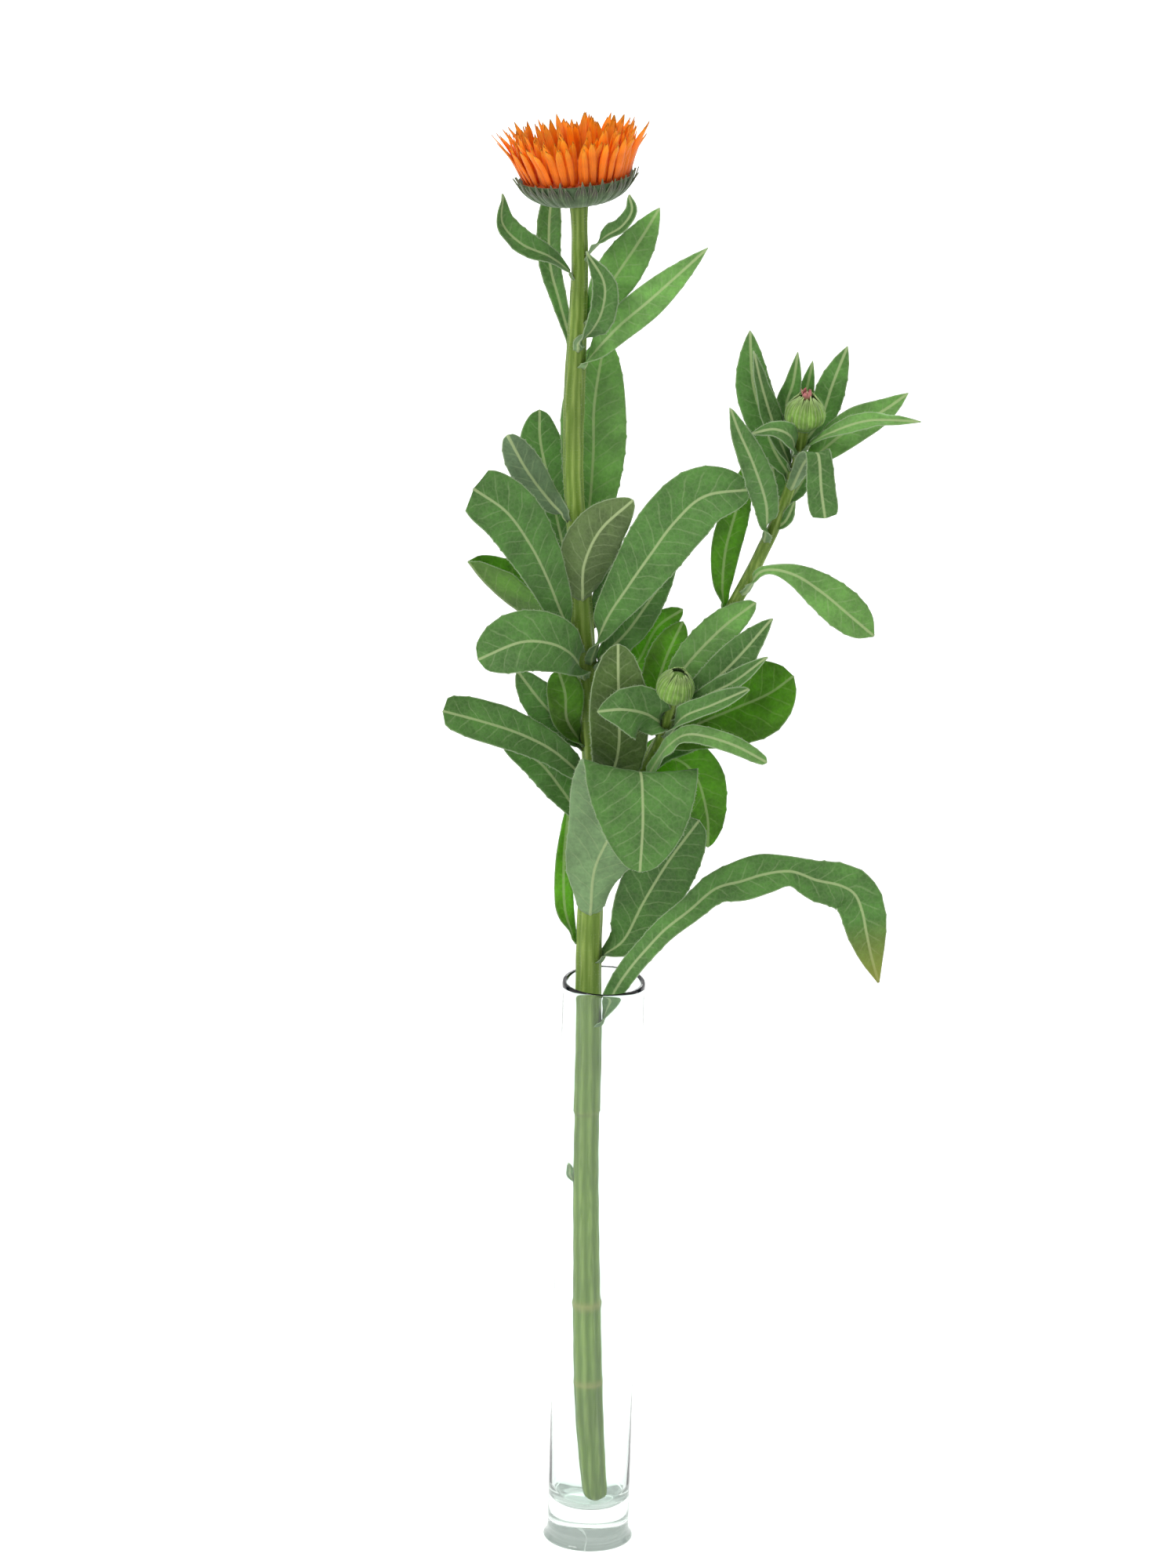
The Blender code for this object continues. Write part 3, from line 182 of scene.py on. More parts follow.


# Turn is the compass angle of the leaf's foot on its stem: 0 right, 90 back, 180 left, 270 front
# Each row's tissue copy and brightness factor paint that leaf's light and shade: a factor below 1 is painted shade,
# above 1 painted light.
LEAVES = {
    # Under the bloom
    "leaf_top_left_curled": leaf_row(
        "mid", 1.0, "main", 449, 215, [(-24.9, 9, 455), (-34.0, 7, 459), (-40.5, 7, 466),
        (-40.4, 8, 476)], 9.6, (VIEW_UP, (0.8, -0.55, 0.1)), fold=0.35, blunt=0.9, peak=0.7, base=0.2),
    "leaf_top_back": leaf_row(
        "mid", 1.05, "main", 424, 120, [(-21.3, 23, 440), (-24.6, 29, 452), (-25.4, 36, 466),
        (-24.6, 41, 479)], 8.4, (VIEW, VIEW), peak=0.75, fold=0.25, blunt=0.5),
    "leaf_top_right_small": leaf_row(
        "mid", 1.05, "main", 455, 320, [(-7.0, 9, 462), (-1.4, 7, 466.0), (1.8, 7, 471.5),
        (0.6, 8, 477)], 6.2, (UP_VIEW, VIEW_LEFT), fold=0.3),
    "leaf_top_right_broad": leaf_row(
        "light", 1.0, "main", 434, 350, [(-3.4, 11, 448), (5.0, 10, 462), (10.8, 11, 472.8)], 14.8,
        (VIEW, VIEW), blunt=0.8, peak=0.5, cup=0.35),
    "leaf_top_front_folded": leaf_row(
        "mid", 0.9, "main", 425, 278, [(-9.6, 3, 431), (-6.8, 1.5, 438), (-6.8, 1.5, 447),
        (-12.8, 2, 457)], 9.6, ((0.45, -0.85, 0.2), (-0.3, -0.9, 0.2)), blunt=0.95, peak=0.62, fold=0.35),
    "leaf_top_right_long": leaf_row(
        "light", 1.08, "main", 419, 325, [(-2.0, 6, 431), (8.0, 2, 440.5), (17.5, -1, 450),
        (26.8, -3, 459.5)], 11.4, (VIEW, VIEW), blunt=0.85, peak=0.5, base=0.45, cup=0.15, wave=0.3),
    "leaf_top_back_large": leaf_row(
        "light", 0.95, "main", 352, 65, [(-9.2, 15.5, 371), (-8.6, 17, 388), (-8.7, 18.5, 405),
        (-5.8, 21.5, 428)], 22.0, (VIEW, VIEW), base=0.5, peak=0.6),

    # Left side
    "leaf_left_back_upper": leaf_row(
        "mid", 1.05, "main", 345, 140, [(-19.0, 16, 360), (-23.0, 19, 377), (-26.2, 21, 391),
        (-26.8, 22, 402)], 16.5, (VIEW, VIEW), peak=0.66, blunt=0.5),
    "leaf_left_grey": leaf_row(
        "grey", 0.95, "main", 365, 200, [(-23.0, 8, 371.0), (-30.4, 4, 381), (-37.0, 2, 393.0)], 11.8,
        (AWAY, AWAY), base=0.4, peak=0.62, fold=0.3, blunt=0.5),
    "leaf_left_large": leaf_row(
        "mid", 1.05, "main", 320, 245, [(-17.5, 1.6, 331), (-22.4, -1.5, 343), (-28.2, -5, 354.5),
        (-36.4, -9, 366), (-47.4, -11, 373.8)], 20.5, ((0.25, -0.85, 0.4), (0.15, -0.85, 0.45)),
        base=0.22, peak=0.84, blunt=0.14),
    "leaf_left_folded": leaf_row(
        "bright", 0.9, "main", 325, 165, [(-20.5, 11.6, 326.5), (-27.0, 11, 329), (-36.0, 9.5, 335),
        (-43.5, 8, 342), (-48.6, 7, 348.5)], 25.0, ((0.25, -0.15, 1.0), (0.1, -0.1, 1.0)), base=0.3,
        peak=0.6, fold=1.0, blunt=0.5, cup=0.05),
    "leaf_left_broad": leaf_row(
        "mid", 1.05, "main", 311, 262, [(-14.0, -4.5, 317.0), (-21.0, -8.5, 320.5), (-31.0, -11, 320.5),
        (-44.6, -13, 314.0)], 21.0, ((0.1, -0.85, 0.55), (-0.1, -0.85, 0.5)), base=0.15, peak=0.7,
        blunt=0.42),
    "leaf_left_mid_back": leaf_row(
        "mid", 1.05, "main", 285, 182, [(-16.2, 5.0, 292), (-23.6, 2.6, 300), (-31.6, 0.6, 310.5)], 12.2,
        (VIEW, VIEW), peak=0.6),
    "leaf_left_low_long": leaf_row(
        "mid", 1.0, "main", 272.5, 240, [(-18.6, -2.0, 282.4), (-29.8, -5.5, 288.2), (-41.5, -9, 292.0),
        (-55.6, -12, 295.6)], 14.6, (VIEW, VIEW_UP), base=0.4, peak=0.82, blunt=0.2),
    "leaf_left_low_olive": leaf_row(
        "mid", 1.08, "main", 258, 210, [(-15.8, 3.2, 269), (-24.2, 1.5, 279), (-36.0, 0, 285)], 12.0,
        (VIEW, VIEW), peak=0.6, base=0.35),
    "leaf_mid_yellow": leaf_row(
        "bright", 0.95, "main", 287, 208, [(-14.8, 2.2, 294), (-15.6, 1.6, 303), (-18.2, 1.6, 311.5)],
        12.4, (VIEW, VIEW), base=0.25, peak=0.75, blunt=0.5),
    "leaf_low_left_narrow": leaf_row(
        "bright", 1.1, "main", 216, 175, [(-13.8, 9.6, 227.5), (-14.5, 10, 244), (-13.6, 10.5, 260),
        (-12.8, 11, 270)], 6.4, (VIEW, VIEW), base=0.6, peak=0.3, blunt=0.9),

    # In front, low
    "leaf_front_large": leaf_row(
        "mid", 1.05, "main", 228, 272, [(-4.0, -1.6, 242), (2.4, -5.5, 257.5), (6.6, -10.5, 269.8),
        (9.2, -15, 275.8), (10.2, -18, 275.4), (10.8, -20, 270.0), (11.3, -22.5, 257),
        (10.8, -24.5, 240.5)], 39.0, None, across=(-1.0, 0.0, 0.07), base=0.25, peak=0.6, blunt=0.52,
        cup=0.12, wave=0.3),
    "leaf_low_right_dark": leaf_row(
        "mid", 0.8, "main", 210, 345, [(6.4, 4.0, 216.5), (12.5, 3.6, 230), (20.5, 1.4, 245),
        (30.0, -1.4, 259.5)], 22.0, (VIEW, VIEW), base=0.28, peak=0.6, blunt=0.4, fold=0.1),
    "leaf_right_bright_arch": leaf_row(
        "bright", 0.95, "main", 263, 20, [(6.0, 7.0, 271), (18.7, 7, 281), (28.0, 6.5, 276),
        (32.6, 6, 262), (33.4, 5.5, 250)], 18.0, ((0.1, -0.8, 0.5), VIEW_RIGHT), base=0.35, peak=0.62,
        blunt=0.6),
    "leaf_low_right_drooping": leaf_row(
        "mid", 1.05, "main", 187, 335, [(3.6, -2.0, 197.6), (8.6, -5.4, 206.2), (14.0, -8, 213.4),
        (19.8, -9.5, 220.4), (27.6, -10.8, 227.4), (36.0, -11, 235.4), (44.6, -10.5, 238.4),
        (52.4, -9.5, 241.2), (61.0, -8.5, 242.4), (69.4, -8, 239.6), (77.2, -8.8, 238.0),
        (82.2, -10.5, 235.0), (84.8, -12.3, 229.0), (86.4, -13.8, 221.6), (88.4, -15.2, 212.7),
        (91.0, -16.4, 203.6)], 15.6, ((-0.1, -0.85, 0.5), (0.15, -0.97, 0.1)), base=0.36, widths=[0.42,
        0.49, 0.5, 0.52, 0.56, 0.68, 0.9, 0.88, 0.64, 0.88, 0.98, 1.0, 0.98, 0.86, 0.52, 0.04], fold=0.1,
        cup=0.2, foot_share=0.1, turn_at=(0.6, 0.8), wave=0.4, waves=3.5, dry_tip=1.0),

    # In front of the stem, upper middle
    "leaf_mid_olive": leaf_row(
        "olive", 1.05, "main", 338.5, 278, [(-10.4, 2.0, 349), (-5.2, -1.5, 361), (5.2, -4.2, 371.6)],
        19.0, (AWAY, AWAY_RIGHT), base=0.5, peak=0.45, blunt=0.62, cup=0.4),
    "leaf_mid_dark_back": leaf_row(
        "mid", 0.8, "main", 327, 20, [(-2.5, 8.0, 341), (2.9, 9.0, 354)], 8.0, (VIEW, VIEW), peak=0.5),
    "leaf_right_large": leaf_row(
        "mid", 1.05, "main", 316, 300, [(-2.6, 0.2, 329.5), (4.0, -4, 341), (11.4, -7, 353),
        (19.0, -9, 364.5), (28.4, -9.6, 373.6), (43.0, -9.4, 376.4)], 22.0,
        ((-0.1, -0.9, 0.4), (0.05, -0.85, 0.5)), base=0.18, peak=0.74, blunt=0.42),
    "leaf_right_under_large": leaf_row(
        "mid", 1.0, "main", 314, 335, [(4.0, 3.6, 325), (12.0, 2, 337.5), (20.0, 1, 350)], 11.5,
        (VIEW, VIEW), peak=0.5, blunt=0.8),

    # Cluster round the front bud
    "leaf_bud_back_pale": leaf_row(
        "bright", 1.0, "main", 301, 0, [(7.5, 5.4, 314), (14.0, 4.6, 327), (22.4, 3.6, 333.8)], 10.6,
        (VIEW, VIEW), peak=0.6, blunt=0.5),
    "leaf_bud_bright_oval": leaf_row(
        "bright", 1.05, "front", 289, 125, [(14.0, -4.6, 302), (17.2, -3.6, 316), (22.6, -2.6, 329.6)],
        12.6, (VIEW, VIEW), peak=0.65, blunt=0.6),
    "leaf_front_round_dark": leaf_row(
        "olive", 0.85, "main", 262, 280, [(2.2, -6.2, 281), (2.4, -8.2, 297), (1.8, -9.0, 309),
        (1.4, -8.5, 321)], 20.0, (VIEW, VIEW), base=0.3, peak=0.68, blunt=0.5, cup=0.3),
    "leaf_front_triangular": leaf_row(
        "mid", 1.0, "front", 293, 210, [(11.0, -16.5, 296.8), (3.5, -19.5, 298), (-4.8, -20.5, 297)],
        18.0, (VIEW_LEFT, VIEW_LEFT), base=0.3, peak=0.45, blunt=0.8),
    "leaf_bud_light_green": leaf_row(
        "light", 1.0, "front", 295.5, 90, [(22.2, -8.0, 311), (34.4, -7.6, 326.5), (46.3, -8.0, 337)],
        12.4, (VIEW, VIEW_LEFT), base=0.25, cup=0.05, peak=0.6, blunt=0.5),
    "leaf_bud_dark_long": leaf_row(
        "mid", 0.85, "front", 291.5, 32, [(28.5, -11.8, 304.0), (39.8, -13.4, 316.0),
        (51.8, -14.5, 331.5)], 12.4, (VIEW, VIEW_LEFT), base=0.25, cup=0.05, peak=0.6, blunt=0.75,
        fold=0.2),
    "leaf_bud_pale_inner": leaf_row(
        "mid", 1.05, "front", 296.5, 340, [(29.0, -17.0, 302.5), (40.0, -19.0, 309), (50.5, -19.5, 318)],
        7.5, (VIEW_UP, VIEW_UP), base=0.35, fold=0.35, blunt=0.8),
    "leaf_bud_lower_pale": leaf_row(
        "mid", 1.0, "front", 290.5, 303, [(24.0, -21.6, 296.2), (33.0, -23.5, 300.5),
        (44.8, -24.5, 306.5)], 8.0, (VIEW_UP, VIEW_UP), base=0.35, fold=0.35, blunt=0.5),
    "leaf_bud_right_large": leaf_row(
        "bright", 0.9, "front", 284.5, 345, [(27.0, -8.6, 292.6), (39.5, -8.6, 299), (51.5, -9, 305),
        (59.5, -10, 311.5)], 28.5, ((-0.1, -0.85, 0.5), (-0.4, -0.8, 0.4)), base=0.22, peak=0.7,
        blunt=0.5, fold=0.15),
    "leaf_bud_lower_bright": leaf_row(
        "mid", 1.1, "front", 277, 40, [(18.8, -3.2, 285), (29.0, -4.0, 291), (39.8, -4.6, 295.5)], 10.6,
        (VIEW, VIEW), peak=0.55),
    "leaf_bud_narrow_arch": leaf_row(
        "light", 0.95, "front", 268, 310, [(15.0, -13.0, 279.6), (19.4, -20.2, 286.2),
        (26.2, -25.6, 290.0), (39.3, -27, 287.0), (51.5, -28, 280.8)], 7.0, (VIEW_UP, VIEW_UP),
        base=0.45, peak=0.7, blunt=0.3, cup=0.15),

    # Right shoot
    "leaf_shoot_tall": leaf_row(
        "mid", 1.1, "right", 380, 140, [(50.4, 0.8, 391), (46.4, 1.4, 402), (43.0, 1.8, 414),
        (41.6, 2.0, 431.4)], 12.4, (VIEW, VIEW), base=0.35, peak=0.55, blunt=0.75),
    "leaf_shoot_tall_inner": leaf_row(
        "mid", 0.9, "right", 384.5, 190, [(50.4, -3.0, 399), (46.0, -3.2, 412.5), (43.0, -3.4, 424.5)],
        7.6, (VIEW_RIGHT, VIEW_RIGHT), base=0.4, peak=0.45, blunt=0.85),
    "leaf_shoot_bud_left": leaf_row(
        "mid", 1.15, "right", 391, 130, [(54.4, 4.4, 405), (56.4, 5.4, 414), (57.6, 5.4, 424.5)], 7.4,
        (VIEW, VIEW), base=0.4, peak=0.4, blunt=0.8),
    "leaf_shoot_bud_back": leaf_row(
        "mid", 1.1, "right", 386.5, 108, [(59.6, 8.0, 404), (61.0, 8.0, 412), (62.6, 8.0, 421.5)], 7.0,
        (VIEW, VIEW), base=0.3, peak=0.45, blunt=0.75),
    "leaf_shoot_bud_right": leaf_row(
        "mid", 1.12, "right", 392.5, 50, [(66.0, 4.8, 402), (69.4, 5.2, 414), (73.8, 5.4, 427)], 10.0,
        (VIEW, VIEW), base=0.2, peak=0.55, blunt=0.8),
    "leaf_shoot_right_upper": leaf_row(
        "light", 0.98, "right", 384, 0, [(66.2, -2.2, 390.4), (76.0, -0.4, 399), (86.0, 0.4, 405),
        (94.2, 1.0, 411.5)], 11.8, ((0.0, -0.85, 0.5), VIEW), base=0.3, peak=0.5, blunt=0.85),
    "leaf_shoot_right_pale": leaf_row(
        "light", 1.05, "right", 392, 325, [(68.0, -8.5, 396.5), (81.0, -9, 401.5), (98.4, -9, 401.8)],
        6.4, (UP_VIEW, VIEW_UP), base=0.4, peak=0.5, blunt=0.85),
    "leaf_shoot_drooping_dark": leaf_row(
        "mid", 0.9, "right", 379, 278, [(60.6, -9.2, 386.5), (63.0, -11.8, 389.6), (64.8, -14.0, 389.6),
        (65.6, -15.2, 386.0), (66.4, -15.4, 377), (68.0, -15.6, 367.0)], 9.8, None,
        across=(-1.0, 0.0, 0.05), base=0.4, peak=0.9, blunt=0.2),
    "leaf_shoot_left_narrow": leaf_row(
        "mid", 1.08, "right", 389.5, 238, [(56.0, -10.0, 395.2), (50.5, -11.4, 397.6),
        (42.8, -11.4, 395.8)], 8.2, (VIEW_UP, VIEW_UP), base=0.5, peak=0.4, blunt=0.8),
    "leaf_shoot_left": leaf_row(
        "mid", 1.0, "right", 360, 235, [(48.6, -9.6, 371.5), (44.0, -14.8, 385), (38.8, -16, 396.5),
        (35.8, -16.5, 404.5)], 10.2, (VIEW, VIEW_RIGHT), base=0.4, peak=0.55, blunt=0.7),
    "leaf_shoot_left_back": leaf_row(
        "bright", 0.95, "right", 333, 170, [(35.2, 0.4, 343), (36.0, 1.2, 355.5), (39.2, 1.8, 370),
        (43.0, 2.2, 388)], 10.2, (VIEW, VIEW), base=0.4, peak=0.5, blunt=0.75),
    "leaf_shoot_spreading": leaf_row(
        "light", 1.0, "right", 341.5, 285, [(47.0, -9.6, 347.4), (52.5, -12, 348.6),
        (60.0, -13.6, 346.4), (68.6, -15, 340.6), (76.4, -16, 334.0), (81.8, -16.6, 329.4),
        (85.4, -17, 326.4)], 13.6, (VIEW, VIEW_UP), base=0.2, widths=[0.22, 0.26, 0.6, 0.95, 1.0, 0.72,
        0.04]),

    # Low on the stem, inside the vase
    "stem_leaflet": leaf_row(
        "mid", 1.1, "main", 131, 185, [(-9.8, 3.0, 133.4), (-10.4, 3.0, 135.6)], 2.6, (VIEW, VIEW),
        cup=0.1, base=0.5, wave=0.0),
}

# Small leaves of the right shoot, as (rib line, width, direction of the upper face)
SHOOT_SMALL_LEAVES = [
    ([(51.6, -2.0, 364), (51.6, 0.8, 376), (49.6, 1.6, 389)], 8.0, VIEW),
    ([(52.0, -3.0, 363), (55.4, -5.4, 366), (58.0, -6.0, 372.6)], 4.2, VIEW_LEFT),
    ([(55.6, -2.6, 372), (58.8, -1.8, 377), (61.6, -1.6, 382.6)], 6.0, VIEW),
]


# Mesh helpers
class Shell:
    """Collects points, faces and per-point values of one mesh."""

    def __init__(self):
        self.points = []
        self.faces = []
        self.values = {}
        self.count = 0

    def add(self, points, faces, **values):
        points = np.asarray(points, dtype=float).reshape(-1, 3)
        self.points.append(points)
        self.faces += [tuple(index + self.count for index in face) for face in faces]
        for name, value in values.items():
            column = np.broadcast_to(np.asarray(value, dtype=float).ravel(), (len(points),)) \
                if np.ndim(value) == 0 or np.size(value) == 1 else np.asarray(value, dtype=float).ravel()
            self.values.setdefault(name, []).append(column)
        self.count += len(points)

    def mesh(self, name, smooth=True):
        made = bpy.data.meshes.new(name)
        made.from_pydata((np.concatenate(self.points) * MM).tolist(), [], self.faces)
        for key, columns in self.values.items():
            layer = made.attributes.new(key, "FLOAT", "POINT")
            layer.data.foreach_set("value", np.concatenate(columns))
        made.polygons.foreach_set("use_smooth", [smooth] * len(made.polygons))
        made.update()
        return made


def blade_faces(rows, columns):
    """Faces of a closed blade: the upper grid, the lower grid and the rim between them."""
    half = rows * columns
    faces = []
    for i in range(rows - 1):
        for j in range(columns - 1):
            a = i * columns + j
            b = a + 1
            c = b + columns
            d = a + columns
            faces += [(a, b, c, d), (half + a, half + d, half + c, half + b)]
        left = i * columns
        right = left + columns - 1
        faces += [(left, left + columns, half + left + columns, half + left),
                  (right, half + right, half + right + columns, right + columns)]
    last = (rows - 1) * columns
    for j in range(columns - 1):
        a = last + j
        faces += [(j, half + j, half + j + 1, j + 1), (a, a + 1, half + a + 1, half + a)]
    return faces


def blade_surface(ribs, faces, halves, across, curls, folds, lifts):
    """The middle surface of a blade, with the direction its upper face looks to at each point."""
    tangents = unit(np.gradient(ribs, axis=0))
    sides = unit(np.cross(tangents, faces))
    uppers = np.cross(sides, tangents)
    reach = halves[:, None] * across[None, :]
    curl = np.where(np.abs(curls) < 1e-6, 1e-6, curls)[:, None]
    out = np.sin(curl * reach) / curl
    rise = (1 - np.cos(curl * reach)) / curl
    rise = rise + np.abs(out) * np.sin(folds)[:, None] + lifts
    out = out * np.cos(folds)[:, None]
    grid = ribs[:, None] + sides[:, None] * out[..., None] + uppers[:, None] * rise[..., None]
    normals = unit(np.cross(np.gradient(grid, axis=1), np.gradient(grid, axis=0)))
    return grid, normals, reach


def add_piece(name, mesh, tissue, slot, *nodes):
    """Puts a finished mesh in the scene, riding on the vase and standing for its CAD nodes."""
    piece = bpy.data.objects.new(name, mesh)
    bpy.context.scene.collection.objects.link(piece)
    piece.data.materials.append(tissue)
    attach(piece, "root")
    if nodes:
        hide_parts(*nodes)
    return piece


def spikes(roots, tips, radius):
    """Closed three-sided hairs from their roots to their tips."""
    axis = unit(tips - roots)
    side = unit(np.cross(axis, np.array([0.31, 0.52, 0.79])))
    other = np.cross(axis, side)
    corners = [roots + radius * (math.cos(a) * side + math.sin(a) * other)
               for a in (0.0, 2 * math.pi / 3, 4 * math.pi / 3)]
    points = np.stack([*corners, tips], axis=1).reshape(-1, 3)
    faces = []
    for start in range(0, 4 * len(roots), 4):
        a, b, c, d = range(start, start + 4)
        faces += [(a, b, d), (b, c, d), (c, a, d), (c, b, a)]
    return points, faces


# Material helpers
class Nodes:
    """A short way to write a material's node tree."""

    def __init__(self, name):
        self.material = bpy.data.materials.new(name)
        self.material.use_nodes = True
        self.tree = self.material.node_tree
        self.tree.nodes.clear()
        self.output = self.tree.nodes.new("ShaderNodeOutputMaterial")

    def node(self, kind, inputs=None, **settings):
        made = self.tree.nodes.new("ShaderNode" + kind)
        for key, value in settings.items():
            setattr(made, key, value)
        for key, value in (inputs or {}).items():
            self.feed(made.inputs[key], value)
        return made

    def feed(self, socket, value):
        if isinstance(value, bpy.types.NodeSocket):
            self.tree.links.new(value, socket)
        elif isinstance(value, tuple) and len(value) == 3 and socket.type == "RGBA":
            socket.default_value = (*value, 1.0)
        else:
            socket.default_value = value

    def math(self, operation, a, b=0.0):
        return self.node("Math", {0: a, 1: b}, operation=operation).outputs[0]

    def ramp(self, value, low, high, start=0.0, stop=1.0):
        """Smoothly from start to stop as value goes from low to high."""
        made = self.node("MapRange", {"Value": value, "From Min": low, "From Max": high,
                                      "To Min": start, "To Max": stop}, interpolation_type="SMOOTHSTEP")
        return made.outputs["Result"]

    def blend(self, share, a, b, mode="MIX"):
        made = self.node("Mix", data_type="RGBA", blend_type=mode)
        self.feed(made.inputs[0], share)
        self.feed(made.inputs[6], a)
        self.feed(made.inputs[7], b)
        return made.outputs[2]

    def value(self, name):
        return self.node("Attribute", attribute_name=name).outputs["Fac"]

    def place(self):
        return self.node("TexCoord").outputs["Object"]

    def noise(self, scale, detail=2.0, vector=None, roughness=0.5):
        vector = self.place() if vector is None else vector
        return self.node("TexNoise", {"Vector": vector, "Scale": scale, "Detail": detail,
                                      "Roughness": roughness}).outputs[0]

    def bump(self, height, strength, distance):
        return self.node("Bump", {"Height": height, "Strength": strength, "Distance": distance}).outputs[0]

    def finish(self, shader):
        self.tree.links.new(shader, self.output.inputs["Surface"])
        return self.material


def linear(red, green, blue):
    """A colour given as it looks on a screen, 0 to 255, as the linear values a shader takes."""
    return tuple(c / 255 / 12.92 if c <= 10 else ((c / 255 + 0.055) / 1.055) ** 2.4 for c in (red, green, blue))


def tissue(nodes, colour, normal, roughness, through, share, sheen=0.25):
    """A soft, finely hairy plant surface that lets some light through."""
    front = nodes.node("BsdfPrincipled", {
        "Base Color": colour, "Roughness": roughness, "Normal": normal, "Specular IOR Level": 0.32,
        "Sheen Weight": sheen, "Sheen Roughness": 0.45, "Sheen Tint": linear(225, 238, 215)})
    back = nodes.node("BsdfTranslucent", {"Color": through, "Normal": normal})
    return nodes.node("MixShader", {0: share, 1: front.outputs[0], 2: back.outputs[0]}).outputs[0]


def leaf_material(name, upper, lower, through, share):
    """Leaf tissue with a pale rib, curved side veins, a fine net between them and a pale rim, darkened or lightened
    by each leaf's painted light and shade.
    """
    nodes = Nodes(name)
    side = nodes.value("side")
    along = nodes.value("along")
    rim = nodes.value("rim")
    under = nodes.value("under")
    tone = nodes.value("tone")
    dry = nodes.value("dry")
    drift = nodes.math("SUBTRACT", nodes.noise(160.0, 2.0), 0.5)
    reach = nodes.math("ABSOLUTE", side)
    rib = nodes.ramp(nodes.math("ADD", reach, nodes.math("MULTIPLY", drift, 0.12)), 0.22, 0.62, 1.0, 0.0)
    step = nodes.math("SUBTRACT", along, nodes.math("MULTIPLY", nodes.math("POWER", reach, 0.86), VEIN_SLOPE))
    step = nodes.math("ADD", step, nodes.math("MULTIPLY", nodes.math("SIGN", side), 0.25 * VEIN_SPACING))
    step = nodes.math("ADD", step, nodes.math("MULTIPLY", drift, 3.2))
    wave = nodes.math("PINGPONG", step, 0.5 * VEIN_SPACING)
    vein = nodes.ramp(wave, 0.1, 0.5, 1.0, 0.0)
    vein = nodes.math("MULTIPLY", vein, nodes.ramp(rim, 0.6, 3.4))
    cells = nodes.node("TexVoronoi", {"Vector": nodes.place(), "Scale": 560.0}, feature="DISTANCE_TO_EDGE")
    net = nodes.ramp(cells.outputs["Distance"], 0.02, 0.16, 1.0, 0.0)
    soft = nodes.noise(95.0, 3.0, roughness=0.6)
    fine = nodes.noise(900.0, 2.0)

    colour = nodes.blend(under, upper, lower)
    shade = nodes.ramp(soft, 0.3, 0.72, 0.78, 1.2)
    shade = nodes.math("MULTIPLY", shade, nodes.ramp(fine, 0.3, 0.7, 0.92, 1.08))
    # Painted light and shade: each leaf's brightness factor darkens or lightens its colour and the colour it lets
    # through.
    shade = nodes.math("MULTIPLY", shade, tone)
    grey = nodes.node("CombineXYZ", {0: shade, 1: shade, 2: shade}).outputs[0]
    colour = nodes.blend(1.0, colour, grey, "MULTIPLY")
    pale = nodes.blend(0.5, lower, linear(196, 216, 158))
    colour = nodes.blend(nodes.math("MULTIPLY", net, 0.1), colour, pale)
    colour = nodes.blend(nodes.math("MULTIPLY", vein, 0.26), colour, pale)
    colour = nodes.blend(nodes.math("MULTIPLY", rib, 0.72), colour, linear(190, 208, 150))
    colour = nodes.blend(nodes.math("MULTIPLY", nodes.ramp(rim, 0.12, 0.42, 1.0, 0.0), 0.6), colour,
                         linear(178, 200, 156))
    colour = nodes.blend(nodes.math("MULTIPLY", dry, 0.75), colour, linear(158, 150, 62))

    relief = nodes.math("ADD", nodes.math("MULTIPLY", net, -0.25), nodes.math("MULTIPLY", fine, 0.7))
    relief = nodes.math("SUBTRACT", relief, nodes.math("MULTIPLY", vein, 0.7))
    normal = nodes.bump(relief, 0.35, 0.0002)
    glow = nodes.blend(1.0, through, grey, "MULTIPLY")
    glow = nodes.blend(nodes.math("MULTIPLY", nodes.math("MAXIMUM", vein, rib), 0.35), glow, linear(150, 178, 90))
    return nodes.finish(tissue(nodes, colour, normal, nodes.ramp(soft, 0.2, 0.8, 0.5, 0.66), glow, share))


def stem_material(name, groove, ridge):
    """Stem skin: paler ridges, darker grooves and fine streaks along the stem."""
    nodes = Nodes(name)
    ridge_share = nodes.value("ridge")
    scar = nodes.value("scar")
    stretched = nodes.node("Mapping", {"Vector": nodes.place(), "Scale": (1.0, 1.0, 0.08)}).outputs[0]
    streak = nodes.noise(900.0, 2.0, stretched)
    patch = nodes.noise(30.0, 3.0)
    colour = nodes.blend(nodes.math("MULTIPLY", ridge_share, nodes.ramp(streak, 0.25, 0.7)), groove, ridge)
    shade = nodes.ramp(patch, 0.25, 0.75, 0.8, 1.15)
    grey = nodes.node("CombineXYZ", {0: shade, 1: shade, 2: shade}).outputs[0]
    colour = nodes.blend(1.0, colour, grey, "MULTIPLY")
    colour = nodes.blend(scar, colour, linear(168, 160, 96))
    normal = nodes.bump(streak, 0.35, 0.00025)
    return nodes.finish(tissue(nodes, colour, normal, 0.48, linear(120, 150, 40), 0.12, 0.2))


